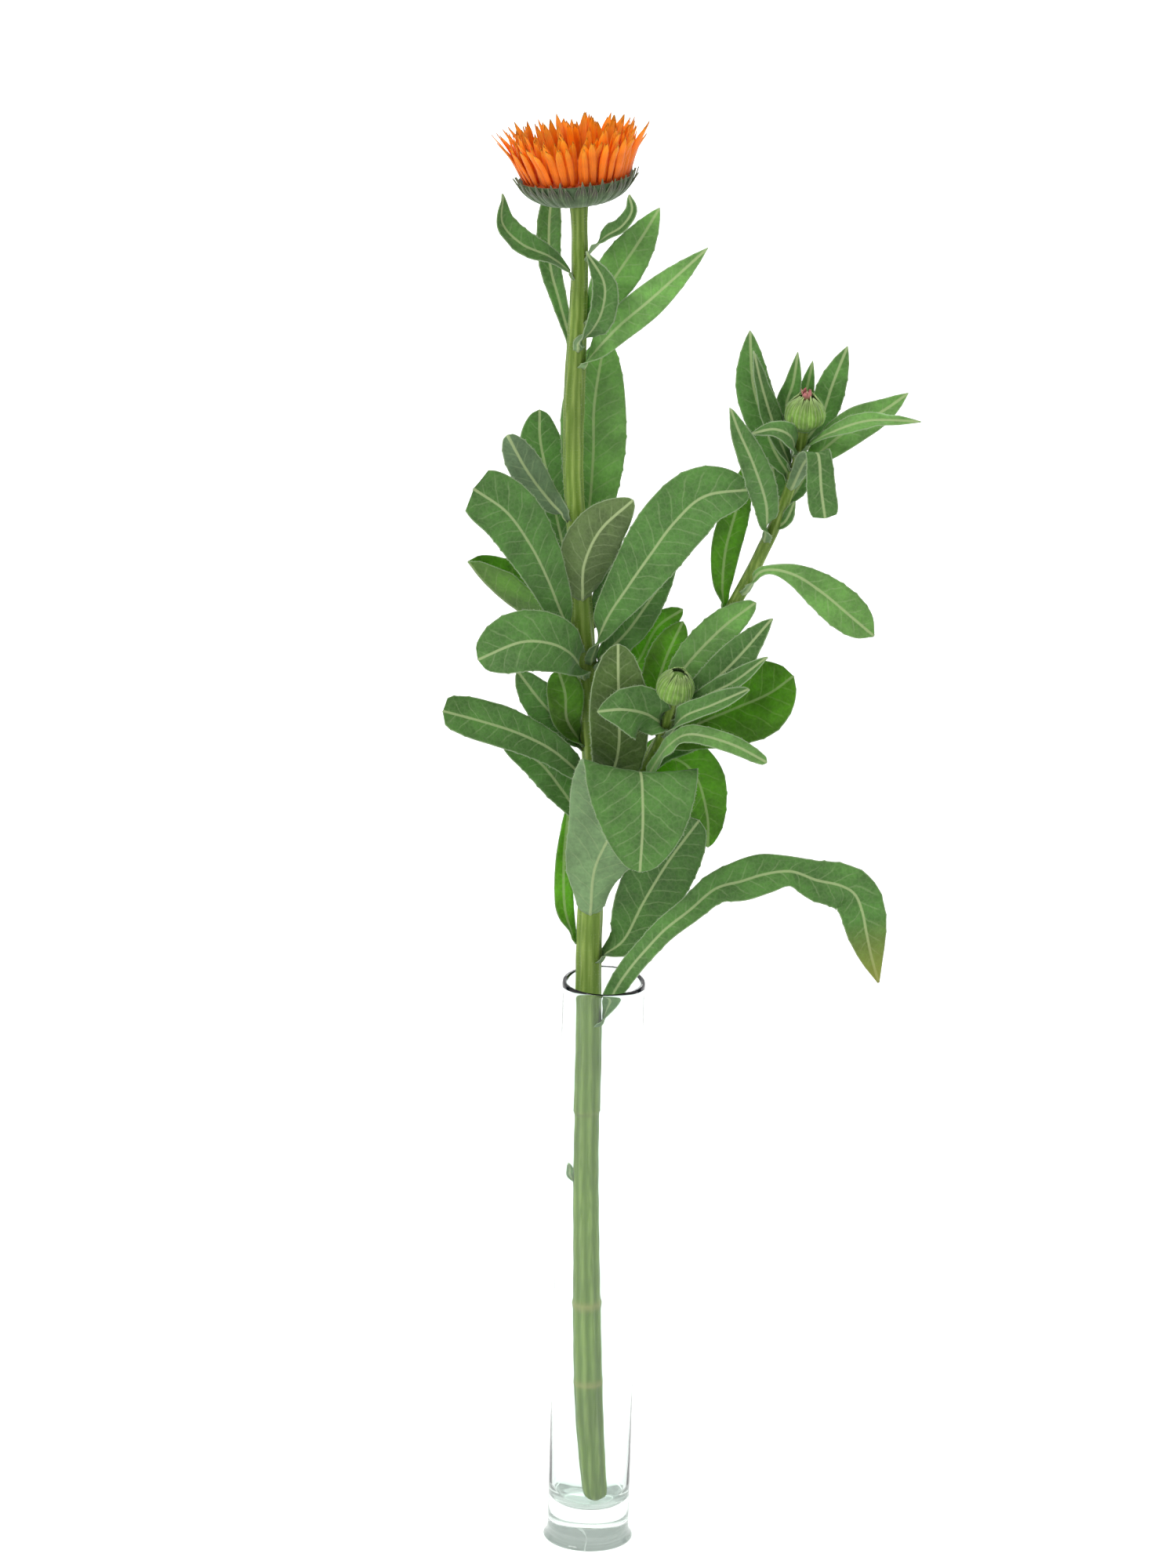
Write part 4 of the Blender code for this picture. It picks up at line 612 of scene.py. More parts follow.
def petal_material(name, root, middle, tip, share):
    """Petal tissue, deeper at its root and yellower at its tip, with fine lines along it; on the orange petals the
    deeper root is partly painted shade between the petals.
    """
    nodes = Nodes(name)
    along = nodes.value("along")
    side = nodes.value("side")
    tone = nodes.value("tone")
    lines = nodes.math("SINE", nodes.math("MULTIPLY", side, 13.0))
    grain = nodes.noise(420.0, 3.0)
    colour = nodes.blend(nodes.ramp(along, 0.02, 0.5), root, middle)
    colour = nodes.blend(nodes.ramp(along, 0.6, 1.0), colour, tip)
    shade = nodes.math("MULTIPLY", nodes.ramp(lines, -1.0, 1.0, 0.9, 1.05), tone)
    shade = nodes.math("MULTIPLY", shade, nodes.ramp(grain, 0.3, 0.7, 0.94, 1.05))
    grey = nodes.node("CombineXYZ", {0: shade, 1: shade, 2: shade}).outputs[0]
    colour = nodes.blend(1.0, colour, grey, "MULTIPLY")
    normal = nodes.bump(nodes.math("ADD", lines, grain), 0.3, 0.00012)
    return nodes.finish(tissue(nodes, colour, normal, 0.42, colour, share, 0.15))


def bract_material(name, foot, tip, edge, share):
    """Small scale-like leaves with a darker tip, lengthwise stripes and a pale rim."""
    nodes = Nodes(name)
    along = nodes.value("along")
    side = nodes.value("side")
    rim = nodes.value("rim")
    tone = nodes.value("tone")
    stripe = nodes.ramp(nodes.math("ABSOLUTE", side), 0.06, 0.3, 1.0, 0.0)
    grain = nodes.noise(500.0, 3.0)
    colour = nodes.blend(nodes.ramp(nodes.math("ADD", along, nodes.math("MULTIPLY", grain, 0.2)), 0.7, 1.05),
                         foot, tip)
    colour = nodes.blend(nodes.math("MULTIPLY", stripe, 0.35), colour, edge)
    colour = nodes.blend(nodes.ramp(rim, 0.05, 0.3, 0.6, 0.0), colour, edge)
    shade = nodes.math("MULTIPLY", nodes.ramp(grain, 0.25, 0.75, 0.75, 1.2), tone)
    grey = nodes.node("CombineXYZ", {0: shade, 1: shade, 2: shade}).outputs[0]
    colour = nodes.blend(1.0, colour, grey, "MULTIPLY")
    normal = nodes.bump(grain, 0.35, 0.0002)
    return nodes.finish(tissue(nodes, colour, normal, 0.6, colour, share, 0.3))


def hair_material():
    nodes = Nodes("fine_hair")
    shade = nodes.noise(300.0, 1.0)
    colour = nodes.blend(shade, linear(205, 220, 185), linear(240, 245, 228))
    return nodes.finish(tissue(nodes, colour, nodes.bump(shade, 0.1, 0.0001), 0.5, colour, 0.35, 0.0))


def glass_material():
    """Clear glass with a faint green tint that lets lamps through to what stands in it."""
    nodes = Nodes("clear_glass")
    waviness = nodes.noise(24.0, 2.0)
    glass = nodes.node("BsdfPrincipled", {
        "Base Color": linear(243, 251, 247), "Roughness": 0.01, "IOR": 1.47, "Transmission Weight": 1.0,
        "Normal": nodes.bump(waviness, 0.12, 0.0015)})
    clear = nodes.node("BsdfTransparent", {"Color": linear(250, 253, 251)})
    shadow = nodes.node("LightPath").outputs["Is Shadow Ray"]
    return nodes.finish(nodes.node("MixShader", {0: shadow, 1: glass.outputs[0], 2: clear.outputs[0]}).outputs[0])


# Copies of one leaf tissue that paint how light falls on each leaf: 'mid' is plain, 'light' paints top light into a
# paler green, 'bright' paints backlit yellow-green glow into its colours, 'grey' paints shade on a leaf seen from
# beneath, 'olive' paints shade.
LEAF_LIT_AND_SHADED_TISSUES = {
    "mid": leaf_material("leaf_mid", linear(84, 128, 60), linear(120, 152, 104), linear(96, 150, 24), 0.3),
    "light": leaf_material("leaf_painted_top_light", linear(112, 160, 82), linear(140, 172, 120), linear(128, 178, 48), 0.34),
    "bright": leaf_material("leaf_painted_backlight", linear(92, 140, 34), linear(116, 158, 70), linear(120, 178, 12), 0.52),
    "grey": leaf_material("leaf_grey_painted_shade", linear(84, 124, 66), linear(98, 126, 88), linear(90, 130, 40), 0.18),
    "olive": leaf_material("leaf_olive_painted_shade", linear(84, 112, 50), linear(90, 112, 62), linear(96, 126, 34), 0.2),
}
HAIR = hair_material()


# Leaves
def outline(t, base, peak, blunt):
    """Half-width of a leaf as a share of its widest, at shares of its length."""
    rising = base + (1 - base) * np.sin(math.pi / 2 * np.clip(t / peak, 0, 1)) ** 1.4
    falling = np.clip(np.cos(math.pi / 2 * np.clip((t - peak) / (1 - peak), 0, 1)), 0, 1) ** blunt
    return np.where(t < peak, rising, falling)


def turned_faces(row, foot_face, ribs, t):
    """The direction the upper face looks to along the leaf, level across where a leaf folds over."""
    if row["across"]:
        main = unit(np.cross(row["across"], np.gradient(ribs, axis=0)))
    else:
        start, stop = row["turn_at"]
        part = np.clip((t - start) / (stop - start), 0.0, 1.0)[:, None]
        main = unit(row["faces"][0]) * (1 - part) + unit(row["faces"][1]) * part
    early = np.clip(t / row["foot_share"], 0.0, 1.0)[:, None]
    return foot_face * (1 - early) + main * early


def wander(draw, t, turns):
    """A smooth random line over the length, between about -1 and 1."""
    total = sum(draw.uniform(-1, 1) * np.sin(2 * math.pi * (k + draw.random()) * t + draw.uniform(0, 6.3))
                for k in range(1, turns))
    return total / math.sqrt(turns)


def leaf_shell(shell, ribs, faces, halves, curls, folds, waves, tone, dry, draw, fringe):
    """Adds one leaf with its grooved rib and quilted veins, and notes where its rim hairs grow."""
    rows = len(ribs)
    length = path_lengths(ribs)
    columns = 2 * int(min(max(halves.max() / CELL, 3), 12)) + 1
    across = np.linspace(-1.0, 1.0, columns)
    t = length / length[-1]
    reach = halves[:, None] * across[None, :]
    ripple = np.where(across[None, :] < 0, wander(draw, t, 7)[:, None], wander(draw, t, 7)[:, None])
    lifts = waves[:, None] * across * np.abs(across)
    lifts = lifts + 0.5 * ripple * np.abs(across)[None, :] ** 3 * np.sin(math.pi * t)[:, None]
    step = length[:, None] - VEIN_SLOPE * np.abs(reach) ** 0.86 + 0.25 * VEIN_SPACING * np.sign(reach)
    quilt = np.abs(np.sin(math.pi * step / VEIN_SPACING)) ** 0.7 - 0.6
    fade = np.clip((halves[:, None] - np.abs(reach)) / 2.5, 0, 1) * np.clip(np.abs(reach) / 1.5, 0, 1)
    lifts = lifts + 0.28 * quilt * fade
    groove = np.exp(-(reach / 0.55) ** 2)
    tooth = np.clip(np.sin(2 * math.pi * length / VEIN_SPACING + draw.uniform(0, 6)) - 0.86, 0, 1) * 2.2
    margin = halves + tooth * np.clip(halves / 6, 0, 1)
    grid, normals, _ = blade_surface(ribs, faces, margin, across, curls, folds, lifts)
    upper = grid + normals * (BLADE_HALF - 0.22 * groove)[..., None]
    lower = grid - normals * (BLADE_HALF + 0.5 * groove)[..., None]
    rim = np.minimum(margin[:, None] * (1 - np.abs(across)), (length[-1] - length)[:, None] + 0.05)
    both = {"side": np.concatenate([reach.ravel()] * 2),
            "along": np.concatenate([np.repeat(length, columns)] * 2),
            "rim": np.concatenate([rim.ravel()] * 2),
            "under": np.repeat([0.0, 1.0], rows * columns),
            "tone": tone,
            "dry": np.concatenate([np.repeat(dry * np.clip((t - 0.86) / 0.14, 0, 1), columns)] * 2)}
    shell.add(np.concatenate([upper.reshape(-1, 3), lower.reshape(-1, 3)]), blade_faces(rows, columns), **both)
    for edge, inner in ((0, 1), (-1, -2)):
        outward = unit(grid[:, edge] - grid[:, inner])
        fringe.append((grid[:, edge], outward, unit(np.gradient(ribs, axis=0)), normals[:, edge]))


def rim_hairs(fringe, draw, per_mm, length):
    """Short hairs along the rims, leaning towards the tip."""
    roots = []
    tips = []
    for line, outward, forward, normal in fringe:
        lengths = path_lengths(line)
        count = int(lengths[-1] * per_mm)
        at = np.sort([draw.uniform(0.02, 1.0) * lengths[-1] for _ in range(count)])
        pick = [np.stack([np.interp(at, lengths, values[:, k]) for k in range(3)], axis=-1)
                for values in (line, outward, forward, normal)]
        lean = np.array([[draw.uniform(-0.2, 0.7), draw.uniform(-0.6, 0.6), draw.uniform(0.55, 1.2)]
                         for _ in range(count)])
        way = unit(pick[1] + pick[2] * lean[:, :1] + pick[3] * lean[:, 1:2])
        roots.append(pick[0] - 0.06 * way)
        tips.append(pick[0] + way * length * lean[:, 2:3])
    return np.concatenate(roots), np.concatenate(tips)


def make_leaf(name, row, fringe, number):
    """One leaf, from the stem it clasps to its tip."""
    draw = random.Random(LEAF_SEED + number)
    centre, direction, radius = stem_ring(row["stem"], row["height"])
    angle = math.radians(row["turn"])
    outward = np.array([math.cos(angle), math.sin(angle), 0.0])
    outward = unit(outward - direction * float(outward @ direction))
    foot = centre + outward * (radius + CLASP_GAP)
    sunk = centre - direction * 1.4 + outward * (radius - 0.35)
    lift = foot + direction * 1.6 + outward * 0.25
    points = [sunk, foot + direction * 0.4, lift]
    points += [seen(x, foot[1] + (y - foot[1]) * DEPTH_REACH, z) for x, y, z in row["points"]]
    shares = [row["base"]] * 3 + (row["widths"] or [0.0] * len(row["points"]))
    path = smooth_path([(*point, share) for point, share in zip(points, shares)])
    rows = int(min(max(path_lengths(path)[-1] / CELL, 14), 110))
    t = np.linspace(0.0, 1.0, rows) ** 0.96
    line = resample(path, t)
    ribs = line[:, :3]
    half = row["width"] / 2
    shares = line[:, 3] if row["widths"] else outline(t, row["base"], row["peak"], row["blunt"])
    halves = np.maximum(half * shares, 0.12)
    clasp = 1.0 / (radius + 0.4)
    curls = clasp * np.clip(1 - t / CLASP_REACH, 0.0, 1.0) + row["cup"] / half
    waves = row["wave"] * np.sin(math.pi * t) * np.sin(2 * math.pi * row["waves"] * t + 1.7 * number)
    folds = row["fold"] * np.clip((t - 0.05) / 0.25, 0.0, 1.0)
    shell = Shell()
    leaf_shell(shell, ribs, turned_faces(row, -outward, ribs, t), halves, curls, folds, waves, row["tone"],
               row["dry_tip"], draw, fringe)
    piece_name = f"fine_{name}"
    add_piece(piece_name, shell.mesh(piece_name), LEAF_LIT_AND_SHADED_TISSUES[row["kind"]], "leaf", name)


def make_small_leaves(fringe):
    """The three small leaves low on the right shoot."""
    draw = random.Random(LEAF_SEED + 90)
    shell = Shell()
    for points, width, face in SHOOT_SMALL_LEAVES:
        t = np.linspace(0.0, 1.0, 22)
        ribs = resample(smooth_path([seen(*p) for p in points]), t)
        halves = np.maximum(width / 2 * outline(t, 0.4, 0.55, 0.7), 0.1)
        flat = np.zeros_like(t)
        leaf_shell(shell, ribs, np.tile(unit(face), (len(t), 1)), halves, flat + 0.4 / width, flat, flat, 1.0,
                   0.0, draw, fringe)
    add_piece("shoot_small_leaves", shell.mesh("shoot_small_leaves"), LEAF_LIT_AND_SHADED_TISSUES["mid"], "leaf",
              "stem_right_shoot")


def make_leaves():
    fringe = []
    for number, (name, row) in enumerate(LEAVES.items()):
        make_leaf(name, row, fringe, number)
    make_small_leaves(fringe)
    roots, tips = rim_hairs(fringe, random.Random(LEAF_SEED + 200), 2.6, LEAF_HAIR)
    shell = Shell()
    shell.add(*spikes(roots, tips, HAIR_RADIUS))
    add_piece("leaf_rim_hairs", shell.mesh("leaf_rim_hairs"), HAIR, "leaf")


# Stems
SCARS = ((154.5, 0.45, 0.9), (85.0, 0.55, 1.3), (57.0, 0.3, 1.0))


def make_stem(name, key, node, ribs, sides, hair_from):
    """A ribbed stem with a few leaf scars, closed at both ends, and its short hairs."""
    draw = random.Random(LEAF_SEED + sides + ribs)
    dense = stem_path(key)
    lengths = path_lengths(dense)
    rings = int(lengths[-1] / 1.1)
    path = resample(dense, np.linspace(0, 1, rings))
    heights = np.interp(np.linspace(0, 1, rings) * lengths[-1], lengths,
                        np.interp(np.arange(len(dense)) / STEM_STEPS, np.arange(len(STEMS[key])),
                                  [row[2] for row in STEMS[key]]))
    tangents = unit(np.gradient(path[:, :3], axis=0))
    side = unit(np.cross(tangents, np.array([0.0, 1.0, 0.0])))
    depth = np.cross(tangents, side)
    angles = np.linspace(0, 2 * math.pi, sides, endpoint=False)
    twist = 0.0016 * lengths[-1] * np.linspace(0, 1, rings)[:, None]
    crest = np.abs(np.cos(0.5 * ribs * (angles[None, :] + twist))) ** 1.6
    scar = np.zeros((rings, sides))
    swell = np.zeros((rings, sides))
    if key == "main":
        for height, size, spread_mm in SCARS:
            band = np.exp(-((heights - height) / spread_mm) ** 2)[:, None]
            swell += size * band * (0.7 + 0.3 * np.sin(3 * angles + height)[None, :])
            scar += 0.7 * band
    radii = path[:, 3:4] * (0.94 + 0.08 * crest) + swell
    radii = radii + 0.05 * np.sin(9 * angles[None, :] + 0.5 * heights[:, None])
    ring = (side[:, None] * np.cos(angles)[None, :, None] + depth[:, None] * np.sin(angles)[None, :, None])
    points = path[:, None, :3] + ring * radii[..., None]
    faces = []
    for i in range(rings - 1):
        for j in range(sides):
            k = (j + 1) % sides
            faces.append((i * sides + j, i * sides + k, (i + 1) * sides + k, (i + 1) * sides + j))
    faces += [tuple(range(sides))[::-1], tuple(range((rings - 1) * sides, rings * sides))]
    shell = Shell()
    shell.add(points.reshape(-1, 3), faces, ridge=crest.ravel(), scar=np.clip(scar, 0, 1).ravel())
    add_piece(name, shell.mesh(name), STEM_SKIN, "stem", node)

    count = int(0.55 * 2 * math.pi * path[:, 3].mean() * lengths[-1])
    roots = []
    tips = []
    for _ in range(count):
        i = draw.randrange(1, rings - 1)
        j = draw.randrange(sides)
        if heights[i] < hair_from:
            continue
        way = unit(ring[i, j] + tangents[i] * draw.uniform(-0.1, 0.5))
        roots.append(points[i, j] - 0.1 * way)
        tips.append(points[i, j] + way * STEM_HAIR * draw.uniform(0.5, 1.2))
    return np.array(roots), np.array(tips)


def make_stems():
    roots = []
    tips = []
    for name, key, node, ribs, sides, hair_from in (
            ("fine_stem_main", "main", "stem_main", 9, 54, 200.0),
            ("fine_stem_right_shoot", "right", "stem_right_shoot", 7, 36, 0.0),
            ("fine_stem_front_shoot", "front", "stem_front_shoot", 6, 30, 0.0)):
        more_roots, more_tips = make_stem(name, key, node, ribs, sides, hair_from)
        roots.append(more_roots)
        tips.append(more_tips)
    shell = Shell()
    shell.add(*spikes(np.concatenate(roots), np.concatenate(tips), HAIR_RADIUS))
    add_piece("stem_hairs", shell.mesh("stem_hairs"), HAIR, "stem")


STEM_SKIN = stem_material("stem_skin", linear(98, 128, 40), linear(146, 170, 84))


# Bloom and buds
def frame_at(base, axis):
    """A placement with its Z along the axis, as a turn and a shift in millimetres."""
    up = Vector(axis).normalized()
    side = Vector((1.0, 0.0, 0.0))
    side = (side - up * side.dot(up)).normalized()
    depth = up.cross(side)
    turn = np.array(Matrix((side, depth, up)).transposed())
    return turn, np.asarray(base, dtype=float)


def placed(points, placement):
    turn, shift = placement
    return np.asarray(points).reshape(-1, 3) @ turn.T + shift


def polar(radius, angle, height):
    return np.array([radius * math.cos(angle), radius * math.sin(angle), height])


def strip(shell, placement, points, width, face, end_face, shape, rows, columns, cup, teeth, tone, thick):
    """A small blade such as a petal or a bract, with a toothed or a pointed tip."""
    t = np.linspace(0.0, 1.0, rows)
    across = np.linspace(-1.0, 1.0, columns)
    dense = smooth_path(points)
    ribs = resample(dense, t)
    faces = unit(face) * (1 - t[:, None]) + unit(end_face) * t[:, None]
    halves = np.maximum(width / 2 * outline(t, *shape), 0.08)
    flat = np.zeros_like(t)
    grid, normals, reach = blade_surface(ribs, faces, halves, across, flat + cup / width, flat,
                                         np.zeros((rows, columns)))
    if teeth:
        length = path_lengths(ribs)[-1]
        dip = teeth * length * (0.5 - 0.5 * np.cos(3 * math.pi * across))
        pull = np.clip((t - 0.8) / 0.2, 0, 1)[:, None] * dip[None, :]
        grid = grid - unit(np.gradient(ribs, axis=0))[:, None] * pull[..., None]
    upper = placed(grid + normals * thick, placement)
    lower = placed(grid - normals * thick, placement)
    rim = halves[:, None] * (1 - np.abs(across))
    shell.add(np.concatenate([upper, lower]), blade_faces(rows, columns),
              side=np.concatenate([reach.ravel()] * 2), along=np.concatenate([np.repeat(t, columns)] * 2),
              rim=np.concatenate([rim.ravel()] * 2), tone=tone)


def turned(shell, placement, profile, sides, along, tone):
    """A closed turned solid from (radius, height) pairs that start and end on the axis."""
    angles = np.linspace(0, 2 * math.pi, sides, endpoint=False)
    inner = profile[1:-1]
    points = [(0.0, 0.0, profile[0][1])]
    points += [(r * math.cos(a), r * math.sin(a), z) for r, z in inner for a in angles]
    points.append((0.0, 0.0, profile[-1][1]))
    last = len(points) - 1
    faces = []
    for j in range(sides):
        k = (j + 1) % sides
        faces.append((0, 1 + k, 1 + j))
        for i in range(len(inner) - 1):
            a = 1 + i * sides
            faces.append((a + j, a + k, a + sides + k, a + sides + j))
        a = 1 + (len(inner) - 1) * sides
        faces.append((a + j, a + k, last))
    shell.add(placed(points, placement), faces, side=0.5, along=along, rim=1.0, tone=tone)


def make_bloom():
    placement = frame_at(seen(*BLOOM_BASE), BLOOM_AXIS)
    draw = random.Random(BLOOM_SEED)

    shell = Shell()
    turned(shell, placement, [(0.0, 5.8), (8.0, 6.0), (16.0, 6.8), (17.7, 8.6), (16.4, 10.0), (10.0, 10.4),
                              (9.0, 9.4), (0.0, 9.2)], 48, 0.1, 0.8)
    for count, root, lean, length, wide in PETAL_ROWS:
        for k in range(count):
            angle = 2 * math.pi * (k + draw.uniform(-0.34, 0.34)) / count
            tilt = math.radians(lean - 1.5 * math.cos(angle) + draw.uniform(-5.5, 5.5))
            reach = length * draw.uniform(0.84, 1.12)
            out = math.sin(tilt)
            rise = math.cos(tilt)
            drift = draw.uniform(-0.09, 0.09)
            bend = draw.uniform(-1.0, 1.3)
            foot = root + 0.5
            points = [polar(root - 1.6, angle, 7.8), polar(foot, angle, 10.0),
                      polar(foot + 0.5 * reach * out - 0.3 * bend, angle + 0.4 * drift, 10.0 + 0.52 * reach * rise),
                      polar(foot + reach * out + bend, angle + drift, 10.0 + reach * rise)]
            face = -polar(1.0, angle + draw.uniform(-0.4, 0.4), -0.3)
            strip(shell, placement, points, wide * draw.uniform(0.75, 1.15), face, face, (0.5, 0.62, 0.55), 16, 7,
                  draw.uniform(0.8, 2.4), 0.05, draw.uniform(0.88, 1.08), 0.11)
    add_piece("fine_petals", shell.mesh("fine_petals"), PETAL, "petal", "bloom_petals")

    shell = Shell()
    turned(shell, placement, [(0.0, 0.0), (3.2, 0.0), (6.0, 0.3), (9.4, 0.9), (12.1, 1.8), (14.2, 3.0),
                              (16.2, 4.6), (17.7, 6.2), (18.9, 8.2), (19.3, 9.2), (18.7, 9.3), (16.8, 6.4),
                              (8.0, 5.6), (0.0, 5.4)], 72, 0.2, 0.9)
    fringe = []
    for ring, count, shift in ((0, 26, 0.0), (1, 26, 0.5)):
        for k in range(count):
            angle = 2 * math.pi * (k + shift + draw.uniform(-0.14, 0.14)) / count
            tip = 10.2 + draw.uniform(-1.0, 1.3)
            grow = 0.45 - 0.3 * ring
            flare = draw.uniform(-0.2, 1.1)
            points = [polar(5.4, angle, 0.5), polar(10.2 + grow, angle, 1.1), polar(14.8 + grow, angle, 3.2),
                      polar(18.3 + grow, angle, 6.7),
                      polar(19.6 + grow + flare, angle + draw.uniform(-0.03, 0.03), tip)]
            strip(shell, placement, points, 3.4, (0.0, 0.0, 1.0), -polar(1.0, angle, 0.0), (0.35, 0.5, 0.95), 16,
                  5, 1.1, 0.0, draw.uniform(0.85, 1.15), 0.16)
            line = placed(smooth_path(points)[20:], placement)
            outward = np.tile(placed(polar(1.0, angle, -0.5), (placement[0], np.zeros(3))), (len(line), 1))
            fringe.append((line, outward, unit(np.gradient(line, axis=0)), np.roll(outward, 1, axis=1)))
    add_piece("fine_bracts", shell.mesh("fine_bracts"), BRACT, "bract", "bloom_bracts")
    hairs = [rim_hairs(fringe, draw, 1.6, 0.45)]

    shell = Shell()
    turned(shell, placement, [(0.0, 9.4), (8.2, 9.7), (8.6, 10.6), (6.6, 11.8), (3.4, 12.6), (0.0, 12.9)], 48,
           0.0, 0.9)
    golden = math.pi * (3 - math.sqrt(5))
    for k in range(90):
        radius = 8.0 * math.sqrt((k + 0.5) / 90)
        angle = k * golden
        top = 14.4 - 0.03 * radius ** 2 + draw.uniform(-0.4, 0.4)
        for lobe in range(5):
            turn = angle + lobe * 2 * math.pi / 5
            base = polar(radius, angle, 10.6)
            lean = polar(0.42, turn, 0.0)
            points = [base + 0.6 * lean, base + 0.8 * lean + (0, 0, 0.6 * (top - 10.6)),
                      polar(radius * 1.05, angle, top) + 1.7 * lean]
            strip(shell, placement, points, 0.62, -lean + (0, 0, 0.1), -lean + (0, 0, 0.5), (0.7, 0.5, 0.7), 5, 3,
                  0.4, 0.0, draw.uniform(0.85, 1.1), 0.05)
    add_piece("fine_disc", shell.mesh("fine_disc"), DISC, "centre", "bloom_centre")
    return hairs


# Buds, as the foot of each, its axis, radius, height, number of bracts and seed
RIGHT_BUD = ((60.2, -3.1, 397.6), (0.05, -0.1, 1.0), 6.4, 12.6, 15, 11)
FRONT_BUD = ((19.9, -16.2, 301.4), (0.15, -0.35, 1.0), 6.0, 12.8, 13, 12)


def make_bud(name, shape, node, tip_piece):
    """A closed bud of narrow striped bracts in two rings that meet over its tip."""
    base, axis, size, height, count, seed = shape
    placement = frame_at(seen(*base), axis)
    draw = random.Random(seed)
    shell = Shell()
    turned(shell, placement, [(0.0, -0.4), (size * 0.32, -0.2), (size * 0.62, 0.1 * height),
                              (size * 0.84, 0.26 * height), (size * 0.9, 0.48 * height),
                              (size * 0.74, 0.72 * height), (size * 0.4, 0.86 * height), (0.0, 0.9 * height)], 40,
           0.3, 0.9)
    fringe = []
    for ring in (0, 1):
        for k in range(count):
            angle = 2 * math.pi * (k + 0.5 * ring + draw.uniform(-0.12, 0.12)) / count
            grow = 0.25 - 0.25 * ring
            points = [polar(size * 0.3, angle, 0.04 * height), polar(size * 0.9 + grow, angle, 0.26 * height),
                      polar(size * 1.0 + grow, angle, 0.5 * height),
                      polar(size * 0.8 + grow, angle, 0.76 * height),
                      polar(size * 0.36 + grow, angle + 0.12, height * draw.uniform(0.92, 1.06))]
            strip(shell, placement, points, 2 * math.pi * size / count * 1.0, -polar(0.4, angle, -1.0),
                  -polar(0.7, angle, 0.7), (0.35, 0.42, 0.9), 18, 5, 0.9, 0.0, draw.uniform(0.88, 1.12), 0.14)
            line = placed(smooth_path(points)[6:], placement)
            outward = np.tile(placed(polar(1.0, angle, 0.1), (placement[0], np.zeros(3))), (len(line), 1))
            fringe.append((line, outward, unit(np.gradient(line, axis=0)), np.roll(outward, 1, axis=1)))
    add_piece(name, shell.mesh(name), BUD_SKIN, "bud", node)
    if tip_piece:
        shell = Shell()
        turned(shell, placement, [(0.0, 10.8), (1.3, 10.9), (1.5, 12.4), (0.0, 14.2)], 16, 0.2, 0.9)
        for k in range(11):
            angle = 2 * math.pi * (k + draw.uniform(-0.3, 0.3)) / 11
            points = [polar(0.7, angle, 11.2), polar(1.5, angle, 12.8), polar(1.3 + draw.uniform(-0.5, 0.8), angle,
                                                                                14.3 + draw.uniform(-0.5, 0.9))]
            strip(shell, placement, points, 1.0, -polar(1.0, angle, -0.4), -polar(1.0, angle, -0.4),
                  (0.6, 0.5, 0.8), 9, 5, 0.6, 0.06, draw.uniform(0.85, 1.1), 0.1)
        add_piece("fine_bud_tip", shell.mesh("fine_bud_tip"), BUD_PINK, "bud_tip", "bud_right_petals")
    return rim_hairs(fringe, draw, 1.5, 0.55)


# The orange petals' red-orange root colour is partly their own and partly painted shade between the petals.
PETAL = petal_material("petal_orange", linear(232, 84, 8), linear(255, 138, 8), linear(255, 172, 30), 0.34)
DISC = petal_material("disc_orange", linear(170, 74, 12), linear(216, 104, 16), linear(244, 150, 30), 0.2)
BRACT = bract_material("bract_green", linear(70, 92, 58), linear(62, 38, 48), linear(120, 140, 98), 0.08)
BUD_SKIN = bract_material("bud_green", linear(118, 158, 66), linear(104, 134, 58), linear(186, 212, 140), 0.16)
BUD_PINK = petal_material("bud_pink", linear(150, 120, 80), linear(200, 132, 128), linear(206, 120, 128), 0.2)


def make_flower():
    hairs = make_bloom()
    hairs.append(make_bud("fine_bud_right", RIGHT_BUD, "bud_right", True))
    hairs.append(make_bud("fine_bud_front", FRONT_BUD, "bud_front", False))
    shell = Shell()
    for roots, tips in hairs:
        shell.add(*spikes(roots, tips, HAIR_RADIUS))
    add_piece("bloom_hairs", shell.mesh("bloom_hairs"), HAIR, "bract")


# Vase
def make_vase():
    """The glass cylinder: thick foot, soft inner floor and a rounded lip."""
    profile = [
        (0.0, 0.0), (14.3, 0.0), (14.8, 0.12), (FOOT_RADIUS, 0.45), (14.95, 0.8), (14.6, 1.2), (14.2, 1.8),
        (13.9, 2.6), (13.75, 3.6), (VASE_OUTER, 5.0), (VASE_OUTER, 60.0), (VASE_OUTER, 110.0),
        (VASE_OUTER, 160.0), (VASE_OUTER, VASE_HEIGHT - 5.0), (VASE_OUTER + 0.1, VASE_HEIGHT - 2.6),
        (VASE_OUTER + 0.2, VASE_HEIGHT - 1.2), (VASE_OUTER, VASE_HEIGHT - 0.4), (13.3, VASE_HEIGHT),
        (12.7, VASE_HEIGHT - 0.2), (12.3, VASE_HEIGHT - 1.0), (VASE_INNER, VASE_HEIGHT - 2.4),
        (VASE_INNER, 160.0), (VASE_INNER, 110.0), (VASE_INNER, 60.0), (VASE_INNER, 20.0), (12.0, 18.0),
        (11.4, 16.2), (10.4, 14.7), (8.6, 13.5), (6.0, 12.8), (3.0, 12.4), (0.0, FLOOR_HEIGHT),
    ]
    shell = Shell()
    turned(shell, (np.eye(3), np.zeros(3)), profile, VASE_SIDES, 0.0, 1.0)
    add_piece("fine_vase", shell.mesh("fine_vase"), glass_material(), "glass", "vase")


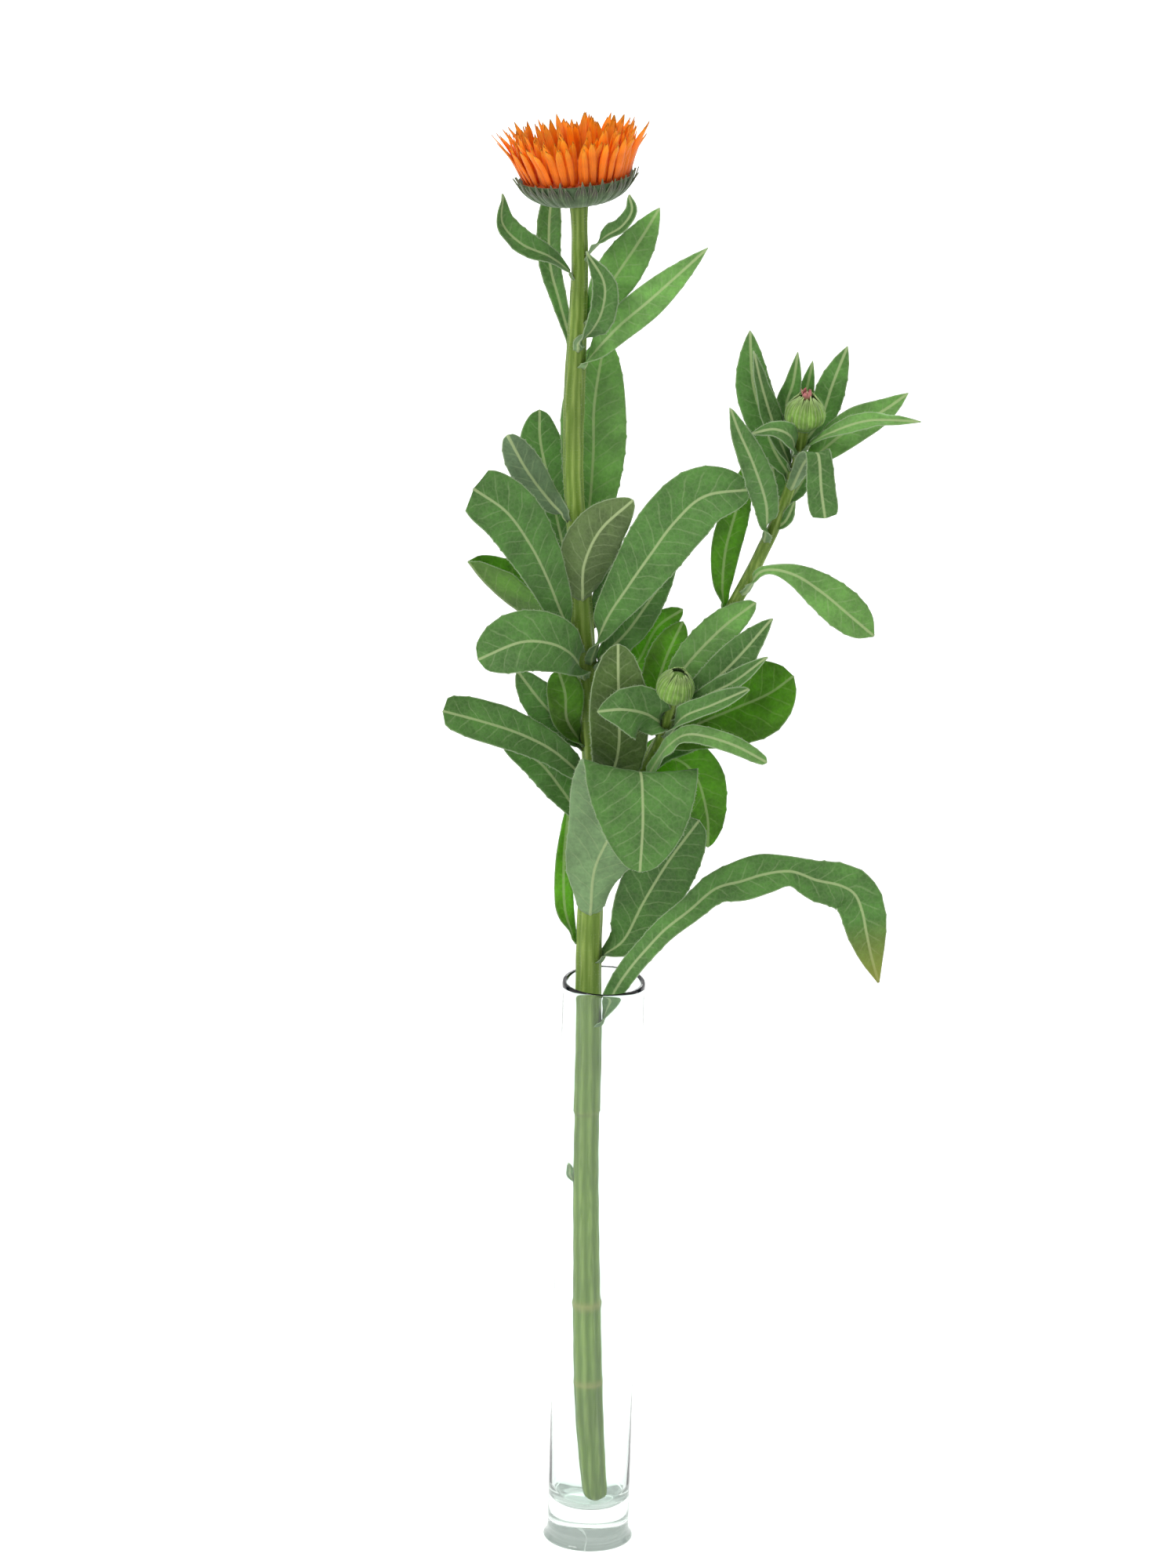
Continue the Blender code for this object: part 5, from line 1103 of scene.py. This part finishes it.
# Studio
def make_floor():
    """A plain pale floor far wider than any view."""
    mesh = bpy.data.meshes.new("studio_floor")
    far = 60.0
    mesh.from_pydata([(-far, -far, 0), (far, -far, 0), (far, far, 0), (-far, far, 0)], [], [(0, 1, 2, 3)])
    floor = bpy.data.objects.new("studio_floor", mesh)
    bpy.context.scene.collection.objects.link(floor)
    nodes = Nodes("pale_floor")
    grain = nodes.noise(3.0, 2.0)
    colour = nodes.blend(nodes.ramp(grain, 0.3, 0.7), linear(246, 247, 247), linear(250, 250, 250))
    skin = nodes.node("BsdfPrincipled", {"Base Color": colour, "Roughness": 0.7, "Specular IOR Level": 0.2})
    mesh.materials.append(nodes.finish(skin.outputs[0]))


def make_card(name, place, size, turn):
    """A dark card that only the glass sees, which draws the thin lines along its walls."""
    wide, tall = size
    mesh = bpy.data.meshes.new(name)
    mesh.from_pydata([(-wide / 2, 0, 0), (wide / 2, 0, 0), (wide / 2, 0, tall), (-wide / 2, 0, tall)], [],
                     [(0, 1, 2, 3)])
    card = bpy.data.objects.new(name, mesh)
    card.location = place
    card.rotation_euler = (0.0, 0.0, turn)
    bpy.context.scene.collection.objects.link(card)
    nodes = Nodes(name)
    skin = nodes.node("BsdfDiffuse", {"Color": linear(70, 84, 92)})
    mesh.materials.append(nodes.finish(skin.outputs[0]))
    card.visible_camera = False
    card.visible_diffuse = False
    card.visible_shadow = False


def make_light(name, place, aim, size, power, colour):
    data = bpy.data.lights.new(name, "AREA")
    data.shape = "RECTANGLE"
    data.size, data.size_y = size
    data.energy = power
    data.color = colour
    light = bpy.data.objects.new(name, data)
    light.location = place
    light.rotation_euler = (Vector(aim) - Vector(place)).to_track_quat("-Z", "Y").to_euler()
    bpy.context.scene.collection.objects.link(light)


def make_studio():
    make_floor()
    for side in (-1, 1):
        make_card(f"dark_card_{'left' if side < 0 else 'right'}", (side * 0.55, 0.25, 0.0), (0.22, 0.9), side * 1.2)
    make_light("key", (-1.6, -1.5, 2.6), (0.0, 0.0, 0.3), (1.2, 1.2), 34.0, (1.0, 0.985, 0.96))
    make_light("back", (0.7, 2.4, 2.2), (0.0, 0.0, 0.3), (2.2, 1.6), 60.0, (0.98, 1.0, 1.0))
    world = bpy.data.worlds.new("studio")
    bpy.context.scene.world = world
    world.use_nodes = True
    tree = world.node_tree
    tree.nodes.clear()
    sky = tree.nodes.new("ShaderNodeBackground")
    sky.inputs["Color"].default_value = (1.0, 1.0, 1.0, 1.0)
    sky.inputs["Strength"].default_value = 0.95
    out = tree.nodes.new("ShaderNodeOutputWorld")
    tree.links.new(sky.outputs[0], out.inputs["Surface"])
    bpy.context.scene.view_settings.view_transform = "Standard"


def make_camera():
    data = bpy.data.cameras.new("photo_camera")
    data.sensor_fit = "VERTICAL"
    data.sensor_height = CAMERA_SENSOR
    data.sensor_width = CAMERA_SENSOR
    data.lens = CAMERA_LENS
    data.clip_end = 100.0
    camera = bpy.data.objects.new("photo_camera", data)
    forward = (CAMERA_AIM - CAMERA_PLACE).normalized()
    right = forward.cross(Vector((0.0, 0.0, 1.0))).normalized()
    up = right.cross(forward)
    rolled_right = math.cos(CAMERA_ROLL) * right - math.sin(CAMERA_ROLL) * up
    rolled_up = math.sin(CAMERA_ROLL) * right + math.cos(CAMERA_ROLL) * up
    turn = Matrix((rolled_right, rolled_up, -forward)).transposed().to_4x4()
    camera.matrix_world = Matrix.Translation(CAMERA_PLACE) @ turn
    bpy.context.scene.collection.objects.link(camera)
    bpy.context.scene.camera = camera


make_camera()
make_studio()
make_vase()
make_stems()
make_leaves()
make_flower()
